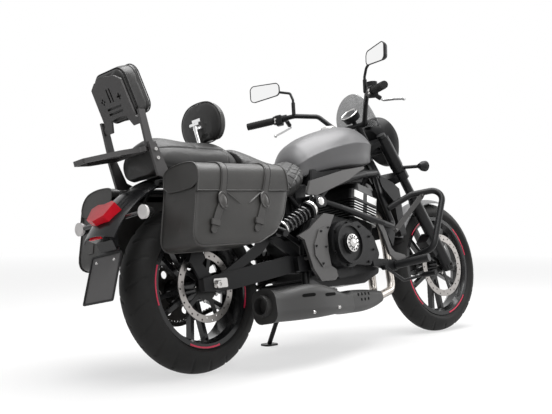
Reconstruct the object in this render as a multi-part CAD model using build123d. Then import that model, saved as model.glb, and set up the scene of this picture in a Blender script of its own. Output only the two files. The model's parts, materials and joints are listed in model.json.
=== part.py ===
from build123d import *
import os
from math import asin, atan2, cos, hypot, pi, radians, sin, tan

# A mid-size cruiser motorcycle, parked on its side stand.
# Millimetres. X runs forward, Y to the left and Z up. Every piece is drawn on the upright machine,
# with the rear tyre's contact point at the origin, and is steered, leaned and set down at the end.

# Chassis geometry
WHEELBASE = 1575.0
RAKE = 31.0
TRAIL = 120.0
LEAN = 10.9
STEER_REST = -3.4

# Wheels and tyres
TYRE_RADIUS = 312.0
REAR_TYRE_WIDTH = 160.0
FRONT_TYRE_WIDTH = 120.0
REAR_RIM_RADIUS = 216.0
FRONT_RIM_RADIUS = 229.0
REAR_BEAD_HALF = 57.0
FRONT_BEAD_HALF = 39.0
SPOKE_GROUPS = 5
AXLE_RADIUS = 10.0
SEAT_GAP = 0.3

# Brakes and final drive
DISC_THICKNESS = 5.0
REAR_DISC_RADIUS = 133.0
REAR_DISC_Y = -80.4
FRONT_DISC_RADIUS = 150.0
FRONT_DISC_Y = -67.2
SPROCKET_RADIUS = 113.0
SPROCKET_TEETH = 46
SPROCKET_Y = 97.0
DRIVE_SPROCKET_RADIUS = 38.0
DRIVE_SPROCKET_X = 540.0
DRIVE_SPROCKET_Z = 372.0
CHAIN_WIDTH = 16.0
CHAIN_HEIGHT = 15.0
CHAIN_GAP = 1.5

# Fork and steering
FORK_OFFSET = 57.9
FORK_HALF_SPACING = 98.0
FORK_TUBE_RADIUS = 20.5
FORK_LOWER_RADIUS = 28.0
FORK_COVER_RADIUS = 30.0
BAR_RADIUS = 11.1
GRIP_RADIUS = 16.5
GRIP_LENGTH = 125.0

# Frame
MAIN_TUBE_RADIUS = 17.0
SUB_TUBE_RADIUS = 11.0
HEAD_TUBE_RADIUS = 29.0
PIVOT_X = 455.0
PIVOT_Z = 360.0

# Luggage
BAG_WALL = 5.0
BAG_INNER_Y = 152.0
BAG_OUTER_Y = 330.0
BAG_LID_GAP = 1.5
BAG_HINGE_Z = 716.0

# How far the moving pieces turn, in degrees
STEER_LIMIT = 32.0
STAND_FOLD = 96.0
LID_OPEN = 75.0


def up_steering(distance):
    """The point of the steering axis that lies this far up from the ground."""
    foot = WHEELBASE + TRAIL
    return Vector(foot - distance * sin(radians(RAKE)), 0, distance * cos(radians(RAKE)))


STEERING_DIRECTION = Vector(-sin(radians(RAKE)), 0, cos(radians(RAKE)))
STEERING_AXIS = Axis(up_steering(0), STEERING_DIRECTION)
FORK_NORMAL = Vector(cos(radians(RAKE)), 0, sin(radians(RAKE)))
REAR_AXLE = Vector(0, 0, TYRE_RADIUS)
FRONT_AXLE = Vector(WHEELBASE, 0, TYRE_RADIUS)


def ahead(x, y, z):
    """A point near the front end, with x measured forward from the front axle."""
    return Vector(WHEELBASE + x, y, z)


def rod(start, end, radius):
    """A straight round bar."""
    start, end = Vector(*start), Vector(*end)
    run = end - start
    return extrude(Plane(origin=start, z_dir=run) * Circle(radius), run.length)


def ring(start, end, outer, inner):
    """A straight round tube."""
    start, end = Vector(*start), Vector(*end)
    run = end - start
    return extrude(Plane(origin=start, z_dir=run) * (Circle(outer) - Circle(inner)), run.length)


def pipe(points, radius, bend):
    """A round bar along straight runs that are joined by bends."""
    path = FilletPolyline(*points, radius=bend)
    return sweep(Plane(origin=path @ 0, z_dir=path % 0) * Circle(radius), path=path)


def side_slab(outline, y_from, y_to, corner=0.0):
    """A plate with an outline in side view, between two places across the machine."""
    face = Plane.XZ * make_face(Polyline(*outline, close=True))
    if corner:
        face = fillet(face.vertices(), corner)
    slab = extrude(face, amount=y_from - y_to)
    return slab.translate((0, y_from, 0))


def left_and_right(shape):
    """A piece of the right side together with its twin on the left."""
    return shape + mirror(shape, about=Plane.XZ)


def section(x, half_width, bottom, top, shoulder=0.62, belly=0.8):
    """A closed smooth outline across the machine, as on a tank or a seat."""
    height = top - bottom
    right = [
        (0, top),
        (-half_width * shoulder, top - 0.14 * height),
        (-half_width, bottom + 0.45 * height),
        (-half_width * belly, bottom + 0.06 * height),
        (0, bottom),
    ]
    left = [(-y, z) for y, z in right[1:-1]]
    outline = right + left[::-1]
    plane = Plane(origin=(x, 0, 0), x_dir=(0, 1, 0), z_dir=(1, 0, 0))
    return plane * make_face(Spline(*outline, periodic=True))


def turned_about_axle(profile, centre):
    """Revolves a profile of (radius, y) points about a wheel's axle."""
    face = make_face(profile)
    return revolve(face, Axis.Y).translate(centre)


# Wheels

def tyre(centre, width, rim_radius, bead_half):
    """A tubeless tyre: round crown, bulged sidewalls and beads between the rim flanges."""
    shoulder = 0.42 * width
    wall_radius = TYRE_RADIUS - shoulder
    half = width / 2
    bead = bead_half - SEAT_GAP
    bead_radius = rim_radius + 1 + SEAT_GAP
    flange_radius = rim_radius + 12
    profile = [
        ThreePointArc((wall_radius, -half), (TYRE_RADIUS, 0), (wall_radius, half)),
        Line((wall_radius, half), (flange_radius, bead)),
        Line((flange_radius, bead), (bead_radius, bead)),
        Line((bead_radius, bead), (bead_radius, -bead)),
        Line((bead_radius, -bead), (flange_radius, -bead)),
        Line((flange_radius, -bead), (wall_radius, -half)),
    ]
    return turned_about_axle(profile, centre)


def cast_wheel(centre, rim_radius, bead_half, hub_right, hub_left, hub_radius):
    """A cast wheel with five pairs of spokes."""
    flange = rim_radius + 10
    well = rim_radius - 14
    outline = [
        (flange, -bead_half - 6), (flange, -bead_half), (rim_radius + 1, -bead_half),
        (rim_radius - 2, -bead_half + 6), (well, -bead_half + 22),
        (well, bead_half - 22), (rim_radius - 2, bead_half - 6),
        (rim_radius + 1, bead_half), (flange, bead_half), (flange, bead_half + 6),
        (rim_radius - 8, bead_half + 6), (well - 8, bead_half - 18),
        (well - 8, 18 - bead_half), (rim_radius - 8, -bead_half - 6),
    ]
    wheel = revolve(make_face(Polyline(*outline, close=True)), Axis.Y)
    wheel += rod((0, hub_right, 0), (0, hub_left, 0), hub_radius)
    root = hub_radius - 8
    tip = well - 4
    for group in range(SPOKE_GROUPS):
        for side in (-1, 1):
            beam = [(root, side * 3), (root, side * 22), (tip, side * 46), (tip, side * 29)]
            spoke = side_slab(beam, -13, 13)
            wheel += spoke.rotate(Axis.Y, 90 + group * 360 / SPOKE_GROUPS)
    wheel -= rod((0, hub_right - 1, 0), (0, hub_left + 1, 0), AXLE_RADIUS + SEAT_GAP)
    return wheel.translate(centre)


def brake_disc(centre, y, radius, hub_radius, holes):
    """A drilled disc on its five-armed carrier."""
    half = DISC_THICKNESS / 2
    band = 0.2 * radius
    disc = ring((0, y - half, 0), (0, y + half, 0), radius, radius - band)
    disc += ring((0, y - half, 0), (0, y + half, 0), hub_radius + 12, AXLE_RADIUS + 12)
    for arm in range(SPOKE_GROUPS):
        bar = Box(radius - band - hub_radius + 8, DISC_THICKNESS, 16)
        bar = bar.translate(((radius - band + hub_radius + 8) / 2, y, 0))
        disc += bar.rotate(Axis.Y, arm * 360 / SPOKE_GROUPS)
    drill = rod((0, y - half - 1, 0), (0, y + half + 1, 0), 4.0)
    for hole in range(holes):
        reach = radius - band * (0.3 if hole % 2 else 0.68)
        disc -= drill.translate((reach, 0, 0)).rotate(Axis.Y, hole * 360 / holes)
    return disc.translate(centre)


def rear_sprocket():
    """The toothed wheel that the chain drives, bolted to the left of the hub."""
    tooth = 360 / SPROCKET_TEETH
    points = []
    for index in range(SPROCKET_TEETH):
        for share, reach in ((-0.2, 0), (0.2, 0), (0.32, -6), (0.68, -6)):
            angle = radians(tooth * (index + share))
            points.append(((SPROCKET_RADIUS + reach) * cos(angle), (SPROCKET_RADIUS + reach) * sin(angle)))
    plate = side_slab(points, SPROCKET_Y - 3, SPROCKET_Y + 3)
    plate -= rod((0, SPROCKET_Y - 4, 0), (0, SPROCKET_Y + 4, 0), AXLE_RADIUS + 12)
    window = rod((0, SPROCKET_Y - 4, 0), (0, SPROCKET_Y + 4, 0), 15)
    for index in range(6):
        plate -= window.translate((80, 0, 0)).rotate(Axis.Y, index * 60)
    return plate.translate(REAR_AXLE)


REAR_HUB_RIGHT = REAR_DISC_Y + DISC_THICKNESS / 2
REAR_HUB_LEFT = SPROCKET_Y - 3
FRONT_HUB_RIGHT = FRONT_DISC_Y + DISC_THICKNESS / 2
FRONT_HUB_LEFT = 62.0
REAR_HUB_RADIUS = 52.0
FRONT_HUB_RADIUS = 34.0


def rear_wheel():
    return cast_wheel(REAR_AXLE, REAR_RIM_RADIUS, REAR_BEAD_HALF, REAR_HUB_RIGHT, REAR_HUB_LEFT,
                      REAR_HUB_RADIUS)


def front_wheel():
    return cast_wheel(FRONT_AXLE, FRONT_RIM_RADIUS, FRONT_BEAD_HALF, FRONT_HUB_RIGHT, FRONT_HUB_LEFT,
                      FRONT_HUB_RADIUS)


# Rear suspension and drive

ARM_INNER_Y = 118.0
ARM_OUTER_Y = 146.0
SHOCK_INNER_Y = 139.0


def swingarm():
    """Two box beams from the pivot to the axle, each with a flat truss above it."""
    low, high = TYRE_RADIUS - 22, TYRE_RADIUS + 26
    beam = [(-66, low), (-66, high), (40, high + 14), (400, PIVOT_Z + 38), (470, PIVOT_Z + 34),
            (486, PIVOT_Z), (470, PIVOT_Z - 34), (400, PIVOT_Z - 32), (90, low), (40, low - 2)]
    right = side_slab(beam, -ARM_OUTER_Y, -ARM_INNER_Y, corner=5)
    truss = [(8, high), (232, 446), (296, 504), (330, 504), (480, PIVOT_Z + 36), (452, PIVOT_Z + 20),
             (318, 462), (290, 438), (262, 416), (46, low + 32)]
    right += side_slab(truss, -SHOCK_INNER_Y + SEAT_GAP, -ARM_INNER_Y - 9, corner=4)
    arm = left_and_right(right)
    arm += rod((PIVOT_X, -ARM_INNER_Y - 1, PIVOT_Z), (PIVOT_X, ARM_INNER_Y + 1, PIVOT_Z), 24)
    arm += rod((362, -ARM_INNER_Y - 1, PIVOT_Z - 6), (362, ARM_INNER_Y + 1, PIVOT_Z - 6), 20)
    arm -= rod((0, -ARM_OUTER_Y - 1, TYRE_RADIUS), (0, ARM_OUTER_Y + 1, TYRE_RADIUS),
               AXLE_RADIUS + SEAT_GAP)
    arm -= rod((PIVOT_X, -ARM_OUTER_Y - 1, PIVOT_Z), (PIVOT_X, ARM_OUTER_Y + 1, PIVOT_Z), 12)
    return arm


def rear_axle():
    """The spindle with its nut and its head outside the swingarm."""
    end = ARM_OUTER_Y + 12
    spindle = rod((0, -end, TYRE_RADIUS), (0, end, TYRE_RADIUS), AXLE_RADIUS)
    nut = extrude(Plane.XZ * RegularPolygon(17, 6), 11)
    spindle += nut.translate((0, -ARM_OUTER_Y - SEAT_GAP, TYRE_RADIUS))
    spindle += nut.translate((0, ARM_OUTER_Y + 11 + SEAT_GAP, TYRE_RADIUS))
    return spindle


def rear_caliper():
    """A caliper over the top of the rear disc, on a bracket from the axle."""
    body = side_slab([(-92, 402), (-66, 452), (-20, 446), (-8, 414), (-40, 384)],
                     REAR_DISC_Y - 30, REAR_DISC_Y + 26, corner=6)
    slot = DISC_THICKNESS / 2 + 3
    body -= ring((0, REAR_DISC_Y - slot, TYRE_RADIUS), (0, REAR_DISC_Y + slot, TYRE_RADIUS),
                 REAR_DISC_RADIUS + 4, 40)
    bracket = side_slab([(-30, 298), (-84, 404), (-50, 420), (28, 330), (28, 298)],
                        REAR_DISC_Y - 30, REAR_DISC_Y - 20, corner=6)
    bracket += ring((0, -ARM_INNER_Y + SEAT_GAP, TYRE_RADIUS), (0, REAR_DISC_Y - 16, TYRE_RADIUS), 20,
                    AXLE_RADIUS)
    return body + bracket - rod((0, -130, TYRE_RADIUS), (0, -60, TYRE_RADIUS), AXLE_RADIUS + SEAT_GAP)


def chain_loop(offset):
    """The chain's path round both sprockets, grown outwards by an offset."""
    big, small = SPROCKET_RADIUS + offset, DRIVE_SPROCKET_RADIUS + offset
    run_x, run_z = DRIVE_SPROCKET_X, DRIVE_SPROCKET_Z - TYRE_RADIUS
    span = hypot(run_x, run_z)
    spread = asin((big - small) / span)
    tilt = atan2(run_z, run_x)
    upper, lower = tilt + pi / 2 - spread, tilt - pi / 2 + spread

    def point(centre, radius, angle):
        return centre[0] + radius * cos(angle), centre[1] + radius * sin(angle)

    rear, front = (0, TYRE_RADIUS), (DRIVE_SPROCKET_X, DRIVE_SPROCKET_Z)
    top_rear, top_front = point(rear, big, upper), point(front, small, upper)
    low_rear, low_front = point(rear, big, lower), point(front, small, lower)
    edges = [
        ThreePointArc(top_rear, point(rear, big, tilt + pi), low_rear),
        Line(low_rear, low_front),
        ThreePointArc(low_front, point(front, small, tilt), top_front),
        Line(top_front, top_rear),
    ]
    return Plane.XZ * make_face(edges)


def drive_chain():
    """The chain as one closed loop round its two sprockets."""
    band = extrude(chain_loop(CHAIN_GAP + CHAIN_HEIGHT) - chain_loop(CHAIN_GAP), CHAIN_WIDTH)
    return band.translate((0, SPROCKET_Y + CHAIN_WIDTH / 2, 0))


SHOCK_REAR = Vector(312, -176, 486)
SHOCK_FRONT = Vector(604, -176, 607)
SHOCK_RUN = SHOCK_FRONT - SHOCK_REAR
SPRING_SEAT = 98.0
SPRING_FOOT = 38.0


def along_shock(distance):
    return SHOCK_REAR + SHOCK_RUN.normalized() * distance


def shock_absorber():
    """The laid-down damper on the right, with an eye and a pin at each end."""
    length = SHOCK_RUN.length
    damper = rod(along_shock(8), along_shock(length - 8), 14)
    damper += rod(along_shock(150), along_shock(length - 24), 20)
    damper += rod(along_shock(SPRING_FOOT - 10), along_shock(SPRING_FOOT), 36)
    damper += rod(along_shock(length - SPRING_SEAT), along_shock(length - SPRING_SEAT + 14), 36)
    for eye, radius, inner in ((SHOCK_REAR, 18, SHOCK_INNER_Y), (SHOCK_FRONT, 22, 153)):
        damper += rod((eye.X, -194, eye.Z), (eye.X, -inner, eye.Z), radius)
    return damper


def shock_spring():
    """The coil spring round the damper."""
    length = SHOCK_RUN.length - SPRING_SEAT - SPRING_FOOT
    turns = 7
    wire = 5.5
    coil_radius = 28.0
    rise = (length - 2 * wire - 2 * SEAT_GAP) / turns
    helix = Helix(pitch=rise, height=rise * turns, radius=coil_radius)
    outline = Plane(origin=helix @ 0, z_dir=helix % 0) * RegularPolygon(wire, 8)
    coil = sweep(outline, path=helix, is_frenet=True)
    plane = Plane(origin=along_shock(SPRING_FOOT + wire + SEAT_GAP), z_dir=SHOCK_RUN)
    return plane.location * coil


# Frame

LOWER_TUBE = [ahead(-367, -24, 764), ahead(-425, -84, 650), ahead(-424, -128, 496), (1040, -150, 516),
              (900, -154, 550), (760, -150, 588), (640, -134, 622)]
LOWER_TUBE_RADIUS = 14.0


REAR_STAY = [(516, -118, 440), (330, -106, 560), (60, -104, 694)]
REAR_STAY_RADIUS = 10.0
RAIL_Z = 700.0
STEM_RADIUS = 14.0
FENDER_WIDTH = 176.0
GUARD_FOOT = ahead(-401, -156 - SEAT_GAP, 338)


def frame():
    """Side tubes from the head to the pivot, lower tubes, a rear subframe and cross tubes."""
    right = pipe([ahead(-383, -22, 812), ahead(-465, -104, 752), (990, -126, 740), (850, -138, 716),
                  (700, -140, 676), (600, -132, 600), (520, -128, 470), (505, -124, 280)],
                 MAIN_TUBE_RADIUS, 50)
    right += pipe(LOWER_TUBE, LOWER_TUBE_RADIUS, 30)
    right += side_slab([(1056, 508), (1148, 492), (1104, 410)], -142, -134)
    right += pipe([(560, -110, 560), (470, -104, RAIL_Z - 10), (180, -104, RAIL_Z), (-150, -104, RAIL_Z),
                   (-190, -104, RAIL_Z - 6)], SUB_TUBE_RADIUS, 20)
    right += pipe(REAR_STAY, REAR_STAY_RADIUS, 30)
    right += rod((-100, -96, 704), (-100, -FENDER_WIDTH / 2 - SEAT_GAP, 704), 7)
    for x in (-60, 150):
        right += rod((x, -104, RAIL_Z - 6), (x, -140, 660), 8)
        right += rod((x, -134, 660), (x, -BAG_INNER_Y + SEAT_GAP, 660), 8)
    right += side_slab([(495, 330), (425, 330), (425, 390), (505, 400)], -170, -147, corner=8)
    right += rod((500, -128, 365), (500, -150, 365), 14)
    whole = left_and_right(right)
    whole += rod(up_steering(862), up_steering(1008), HEAD_TUBE_RADIUS)
    whole += rod((505, -124, 288), (505, 124, 288), 14)
    whole += rod((606, -132, 630), (606, 132, 630), 14)
    whole += rod((150, -104, RAIL_Z), (150, 104, RAIL_Z), 8)
    whole -= rod(up_steering(855), up_steering(1015), STEM_RADIUS + SEAT_GAP)
    return whole


def front_brackets():
    """The grey J-shaped plates under the lower tubes, which carry the guards' feet."""
    outline = [(984, 536), (1014, 540), (1050, 476), (1070, 404), (1092, 384), (GUARD_FOOT.X - 8, 366),
               (GUARD_FOOT.X - 10, 332), (1082, 354), (1052, 378), (1038, 424), (1022, 470)]
    plate = side_slab(outline, -156, -144, corner=5)
    plate += rod((GUARD_FOOT.X, -156, GUARD_FOOT.Z), (GUARD_FOOT.X, -144, GUARD_FOOT.Z), 20)
    return left_and_right(plate - pipe(LOWER_TUBE, LOWER_TUBE_RADIUS + SEAT_GAP, 30))


# Engine

def crankcase_shape(grow):
    """The middle of the crankcase, or the same grown by a gap."""
    outline = [(560, 300), (552, 470), (600, 556), (700, 570), (850, 540), (985, 490), (1030, 400),
               (1010, 300), (900, 262), (640, 262)]
    face = make_face(Polyline(*outline, close=True))
    face = fillet(face.vertices(), 20)
    if grow:
        face = offset(face, grow)
    return extrude(Plane.XZ * face, 112 + grow, both=True)


def engine():
    """The crankcase with the covers on its left and the lug for the stand below."""
    case = crankcase_shape(0)
    wide = [(600, 320), (590, 470), (640, 520), (860, 505), (960, 460), (985, 380), (940, 310),
            (700, 290)]
    case += side_slab(wide, -150, 150, corner=24)
    pocket = extrude(chain_loop(CHAIN_HEIGHT + 6), CHAIN_WIDTH + 10)
    case -= pocket.translate((0, SPROCKET_Y + CHAIN_WIDTH / 2 + 5, 0))
    return case + left_covers() + stand_bracket()


CYLINDER_LEAN = 17.0
CYLINDER_FOOT = Vector(958, 0, 524)
BLOCK_HEIGHT = 90.0
HEAD_HEIGHT = 46.0


def cylinders():
    """Two cylinders in one finned block, leaning forward, with the head and its cover on top."""
    lean = radians(CYLINDER_LEAN)
    plane = Plane(origin=CYLINDER_FOOT, x_dir=(cos(lean), 0, -sin(lean)), z_dir=(sin(lean), 0, cos(lean)))
    block = extrude(plane.offset(-40) * RectangleRounded(160, 206, 20), BLOCK_HEIGHT + 40)
    for fin in range(7):
        block += extrude(plane.offset(6 + fin * 12) * RectangleRounded(184, 236, 24), 4)
    block += extrude(plane.offset(BLOCK_HEIGHT) * RectangleRounded(190, 232, 26), HEAD_HEIGHT)
    cover = plane.offset(BLOCK_HEIGHT + HEAD_HEIGHT)
    block += extrude(cover * RectangleRounded(150, 226, 30), 36, taper=12)
    return block - crankcase_shape(SEAT_GAP)


CLUTCH_X, CLUTCH_Z, CLUTCH_RADIUS = 690.0, 424.0, 97.0


def clutch_cover():
    """The round cover on the right, with a dished middle and a raised rim."""
    y = -150.0
    cover = rod((CLUTCH_X, y, CLUTCH_Z), (CLUTCH_X, y - 66, CLUTCH_Z), CLUTCH_RADIUS)
    cover += side_slab([(730, 340), (700, 505), (800, 520), (880, 470), (900, 400), (850, 330)],
                       y - 50, y, corner=20)
    cover += rod((CLUTCH_X, y - 66, CLUTCH_Z), (CLUTCH_X, y - 88, CLUTCH_Z), CLUTCH_RADIUS - 14)
    cover -= ring((CLUTCH_X, y - 80, CLUTCH_Z), (CLUTCH_X, y - 90, CLUTCH_Z), CLUTCH_RADIUS - 24, 42)
    cap = rod((CLUTCH_X, y - 86, CLUTCH_Z), (CLUTCH_X, y - 96, CLUTCH_Z), 36)
    return cover + cap


def right_side_cover():
    """The grey plate ahead of the swingarm pivot, with a raised inner panel."""
    outline = [(412, 469), (444, 452), (474, 338), (511, 284), (597, 282), (618, 297), (612, 326),
               (585, 340), (580, 400), (588, 470), (620, 512), (648, 548), (584, 556), (507, 512),
               (483, 495)]
    plate = side_slab(outline, -204, -190)
    inner = [(533, 490), (600, 505), (570, 440), (568, 390), (574, 345), (527, 338), (490, 387),
             (494, 430)]
    plate += side_slab(inner, -209, -204, corner=5)
    for x, z, inner_y in ((600, 536, -154), (470, 380, -170 - SEAT_GAP), (580, 318, -112 - SEAT_GAP)):
        plate += rod((x, -190, z), (x, inner_y, z), 7)
    return plate


def left_covers():
    """The alternator cover and the sprocket cover on the left."""
    cover = rod((760, 150, 420), (760, 206, 420), 92)
    cover += rod((760, 206, 420), (760, 214, 420), 70)
    cover += side_slab([(560, 312), (542, 340), (542, 420), (560, 450), (700, 500), (700, 312)], 122, 150,
                       corner=14)
    cover += side_slab([(560, 320), (560, 450), (690, 500), (690, 310)], 149, 180, corner=14)
    shaft = rod((DRIVE_SPROCKET_X, 108, DRIVE_SPROCKET_Z), (DRIVE_SPROCKET_X, 123, DRIVE_SPROCKET_Z), 9)
    drive = rod((DRIVE_SPROCKET_X, SPROCKET_Y - 3, DRIVE_SPROCKET_Z),
                (DRIVE_SPROCKET_X, SPROCKET_Y + 3, DRIVE_SPROCKET_Z),
                DRIVE_SPROCKET_RADIUS + CHAIN_GAP - SEAT_GAP)
    stub = rod((DRIVE_SPROCKET_X, 60, DRIVE_SPROCKET_Z), (DRIVE_SPROCKET_X, 112, DRIVE_SPROCKET_Z), 16)
    return cover + drive + shaft + stub


# Cooling and exhaust

def radiator():
    """The core between two side tanks, with a shroud on each side."""
    lean = radians(8)
    plane = Plane(origin=ahead(-369, 0, 575), x_dir=(0, 1, 0), z_dir=(cos(lean), 0, sin(lean)))
    core = extrude(plane * Rectangle(190, 230), 28)
    for side in (-1, 1):
        tank = extrude(plane.offset(-8) * Pos(side * 106, 0) * RectangleRounded(22, 240, 8), 44)
        core += tank
    outline = [(-381, 474), (-387, 614), (-462, 684), (-474, 722), (-452, 730), (-380, 706), (-334, 676),
               (-332, 640), (-340, 484)]
    outline = [(WHEELBASE + x, z) for x, z in outline]
    shroud = side_slab(outline, -126, -116.5, corner=8)
    lug = rod(ahead(-372, -100, 600), ahead(-425, -100, 600), 8)
    lug -= pipe(LOWER_TUBE, LOWER_TUBE_RADIUS + SEAT_GAP, 30)
    return core + left_and_right(shroud + lug)


COLLECTOR_X = 1000.0


def exhaust_headers():
    """Two header pipes that curve down and back under the engine to the collector."""
    pipes = []
    for y in (-52, 52):
        pipes.append(pipe([(1062, y, 605), (1150, y, 560), (1170, y, 420), (1140, y - 20, 222),
                           (COLLECTOR_X - 6, -78 + y * 0.4, 196)], 18, 50))
    behind = Box(200, 300, 200).translate((COLLECTOR_X - 100, -78, 196))
    return pipes[0] + pipes[1] - cylinders() - behind


def collector():
    """The box under the engine where the headers join, ahead of the muffler."""
    return loft([
        Plane(origin=(COLLECTOR_X - SEAT_GAP, -78, 196), x_dir=(0, 1, 0), z_dir=(-1, 0, 0))
        * RectangleRounded(92, 50, 20),
        Plane(origin=(860, -110, 190), x_dir=(0, 1, 0), z_dir=(-1, 0, 0)) * RectangleRounded(110, 84, 24),
        Plane(origin=(700, -140, 190), x_dir=(0, 1, 0), z_dir=(-1, 0, 0)) * RectangleRounded(120, 92, 24),
    ])


def muffler():
    """The short muffler low on the right, with its outlet at the rear."""
    def station(x, y, z, width, height, corner):
        plane = Plane(origin=(x, y, z), x_dir=(0, 1, 0), z_dir=(-1, 0, 0))
        return plane * RectangleRounded(width, height, corner)

    body = loft([
        station(700 - SEAT_GAP, -140, 190, 120, 92, 24), station(560, -180, 196, 128, 96, 26),
        station(470, -196, 206, 130, 124, 34), station(320, -199, 208, 128, 127, 38),
        station(170, -200, 208, 126, 128, 40),
    ])
    body += rod((172, -200, 212), (146, -200, 212), 40)
    return body - rod((180, -200, 212), (140, -200, 212), 31)


# Bodywork

TANK_REAR = 614.0


def fuel_tank():
    """The teardrop tank between the seat and the steering head."""
    stations = [
        section(TANK_REAR, 76, 722, 846), section(660, 104, 732, 884), section(740, 134, 746, 922),
        section(860, 160, 762, 958), section(960, 166, 770, 974), section(1040, 150, 780, 966),
        section(1092, 112, 800, 936),
    ]
    filler = Plane(origin=(948, 0, 960), z_dir=(0.03, 0, 1))
    return loft(stations) + extrude(filler * Circle(36), 20)


def tank_wing():
    """The cover under the tank's edge on one side, ahead of the seat."""
    outline = [(536, 640), (568, 697), (660, 716), (798, 746), (904, 760), (976, 768), (884, 734),
               (822, 704), (680, 660), (596, 636)]
    return side_slab(outline, -172, -160, corner=5) + rod((780, -161, 700), (780, -157, 700), 12)


FENDER_CENTRE = Vector(0, 0, 240)
FENDER_RADIUS = 508.0
FENDER_DROP = 30.0


def arched_strip(outer, inner, width, drop, sweep_angle, turn, centre):
    """A mudguard: a crowned strip revolved part of the way round a wheel."""
    half = width / 2
    profile = [
        ThreePointArc((outer - drop, -half), (outer, 0), (outer - drop, half)),
        Line((outer - drop, half), (inner - drop, half)),
        ThreePointArc((inner - drop, half), (inner, 0), (inner - drop, -half)),
        Line((inner - drop, -half), (outer - drop, -half)),
    ]
    strip = revolve(make_face(profile), Axis.Y, revolution_arc=sweep_angle)
    return strip.rotate(Axis.Y, turn).translate(centre)


def fender_solid(radius):
    """Everything inside the mudguard's outer face."""
    half, edge = FENDER_WIDTH / 2, radius - FENDER_DROP
    face = make_face([ThreePointArc((edge, -half), (radius, 0), (edge, half)), Line((edge, half), (0, half)),
                      Line((0, half), (0, -half)), Line((0, -half), (edge, -half))])
    return revolve(face, Axis.Y).translate(FENDER_CENTRE)


def rear_fender():
    """The rear mudguard, with the bracket for the plate and its lamp under the tail."""
    strip = arched_strip(FENDER_RADIUS, FENDER_RADIUS - 5, FENDER_WIDTH, FENDER_DROP, 64, -146, FENDER_CENTRE)
    return strip + plate_holder()


SEAT_SPLIT = 238.0


def pillion_seat():
    """The rear seat on its base."""
    seat = loft([
        section(-184, 88, 736, 842), section(-164, 104, 730, 860), section(-20, 112, 728, 872),
        section(120, 116, 728, 868), section(196, 114, 728, 858),
        section(SEAT_SPLIT - SEAT_GAP, 102, 732, 820),
    ])
    clearance = Cylinder(FENDER_RADIUS + SEAT_GAP, 400).rotate(Axis.X, 90).translate(FENDER_CENTRE)
    return seat - clearance


def rider_seat():
    """The front seat, scooped, with its nose against the tank and flanks over the frame's tubes."""
    seat = loft([
        section(SEAT_SPLIT, 124, 712, 850), section(290, 140, 672, 840), section(380, 158, 622, 812),
        section(470, 158, 622, 792), section(548, 146, 652, 794), section(TANK_REAR - SEAT_GAP, 92, 704, 812),
    ])
    rail_top = RAIL_Z + SUB_TUBE_RADIUS + SEAT_GAP
    tunnel = Box(500, 250, 200).translate((425, 0, rail_top - 100))
    return seat - tunnel


BACKREST_PLANE = Plane(origin=(155, 0, 951), x_dir=(0, 1, 0), z_dir=(1, 0, 0.05))


def driver_backrest():
    """The rider's own back pad."""
    outline = BACKREST_PLANE * make_face(Spline((0, -80), (72, -75), (110, -34), (110, 28), (68, 74),
                                                (0, 86), (-68, 74), (-110, 28), (-110, -34), (-72, -75),
                                                periodic=True))
    return fillet(extrude(outline, 42).edges(), 14)


def backrest_post():
    """The chromed post under the rider's back pad, with a small clamp on the pad's back."""
    post = pipe([(142, 0, 850), (140, 0, 884), (132, 0, 922), (132, 0, 952)], 8, 14)
    post += rod((132, -26, 948), (132, 26, 948), 8)
    behind = BACKREST_PLANE.offset(-SEAT_GAP)
    return post + extrude(behind * Rectangle(46, 40), -16) - pillion_seat()


SISSY_PLANE = Plane(origin=(-229, 0, 942), x_dir=(0, -1, 0), z_dir=(-0.944, 0, -0.33))
RACK_DEPTH = 18.0


def sissy_bar():
    """The passenger's back support: two flat uprights, a slotted plate, side plates and the rack."""
    plate_y = -115.0 - SEAT_GAP
    right = side_slab([(-222, 824), (-240, 960), (-212, 960), (-190, 824)], plate_y, plate_y + 11)
    right += side_slab([(-222, 840), (-190, 840), (-146, 736), (-112, 722), (-122, 700), (-196, 716)],
                       plate_y - 11, plate_y)
    whole = left_and_right(right)
    right_side = [(0, 172), (58, 162), (86, 142), (88, 0), (107, -12), (107, -30), (62, -30), (42, 14),
                  (0, 17)]
    outline = right_side + [(-y, z) for y, z in right_side[-2:0:-1]]
    back = extrude(SISSY_PLANE * fillet(make_face(Polyline(*outline, close=True)).vertices(), 4), 8)
    cuts = [Pos(-8, 101) * RectangleRounded(7, 52, 3), Pos(8, 101) * RectangleRounded(7, 52, 3)]
    for side in (-1, 1):
        cuts += [Pos(side * 46, 87) * Rectangle(24, 7), Pos(side * 46, 87) * Rectangle(7, 24)]
    for z in (54, 36):
        cuts.append(Pos(0, z) * RectangleRounded(82, 8, 3.5))
    for cut in cuts:
        back -= extrude(SISSY_PLANE * cut, 20, both=True)
    return whole + back + luggage_rack()


def sissy_pad():
    """The passenger's back pad, in front of the plate."""
    plane = SISSY_PLANE.offset(-SEAT_GAP)
    face = plane * Pos(0, 92) * RectangleRounded(176, 190, 40)
    return fillet(extrude(face, -66).edges(), 16)


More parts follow.
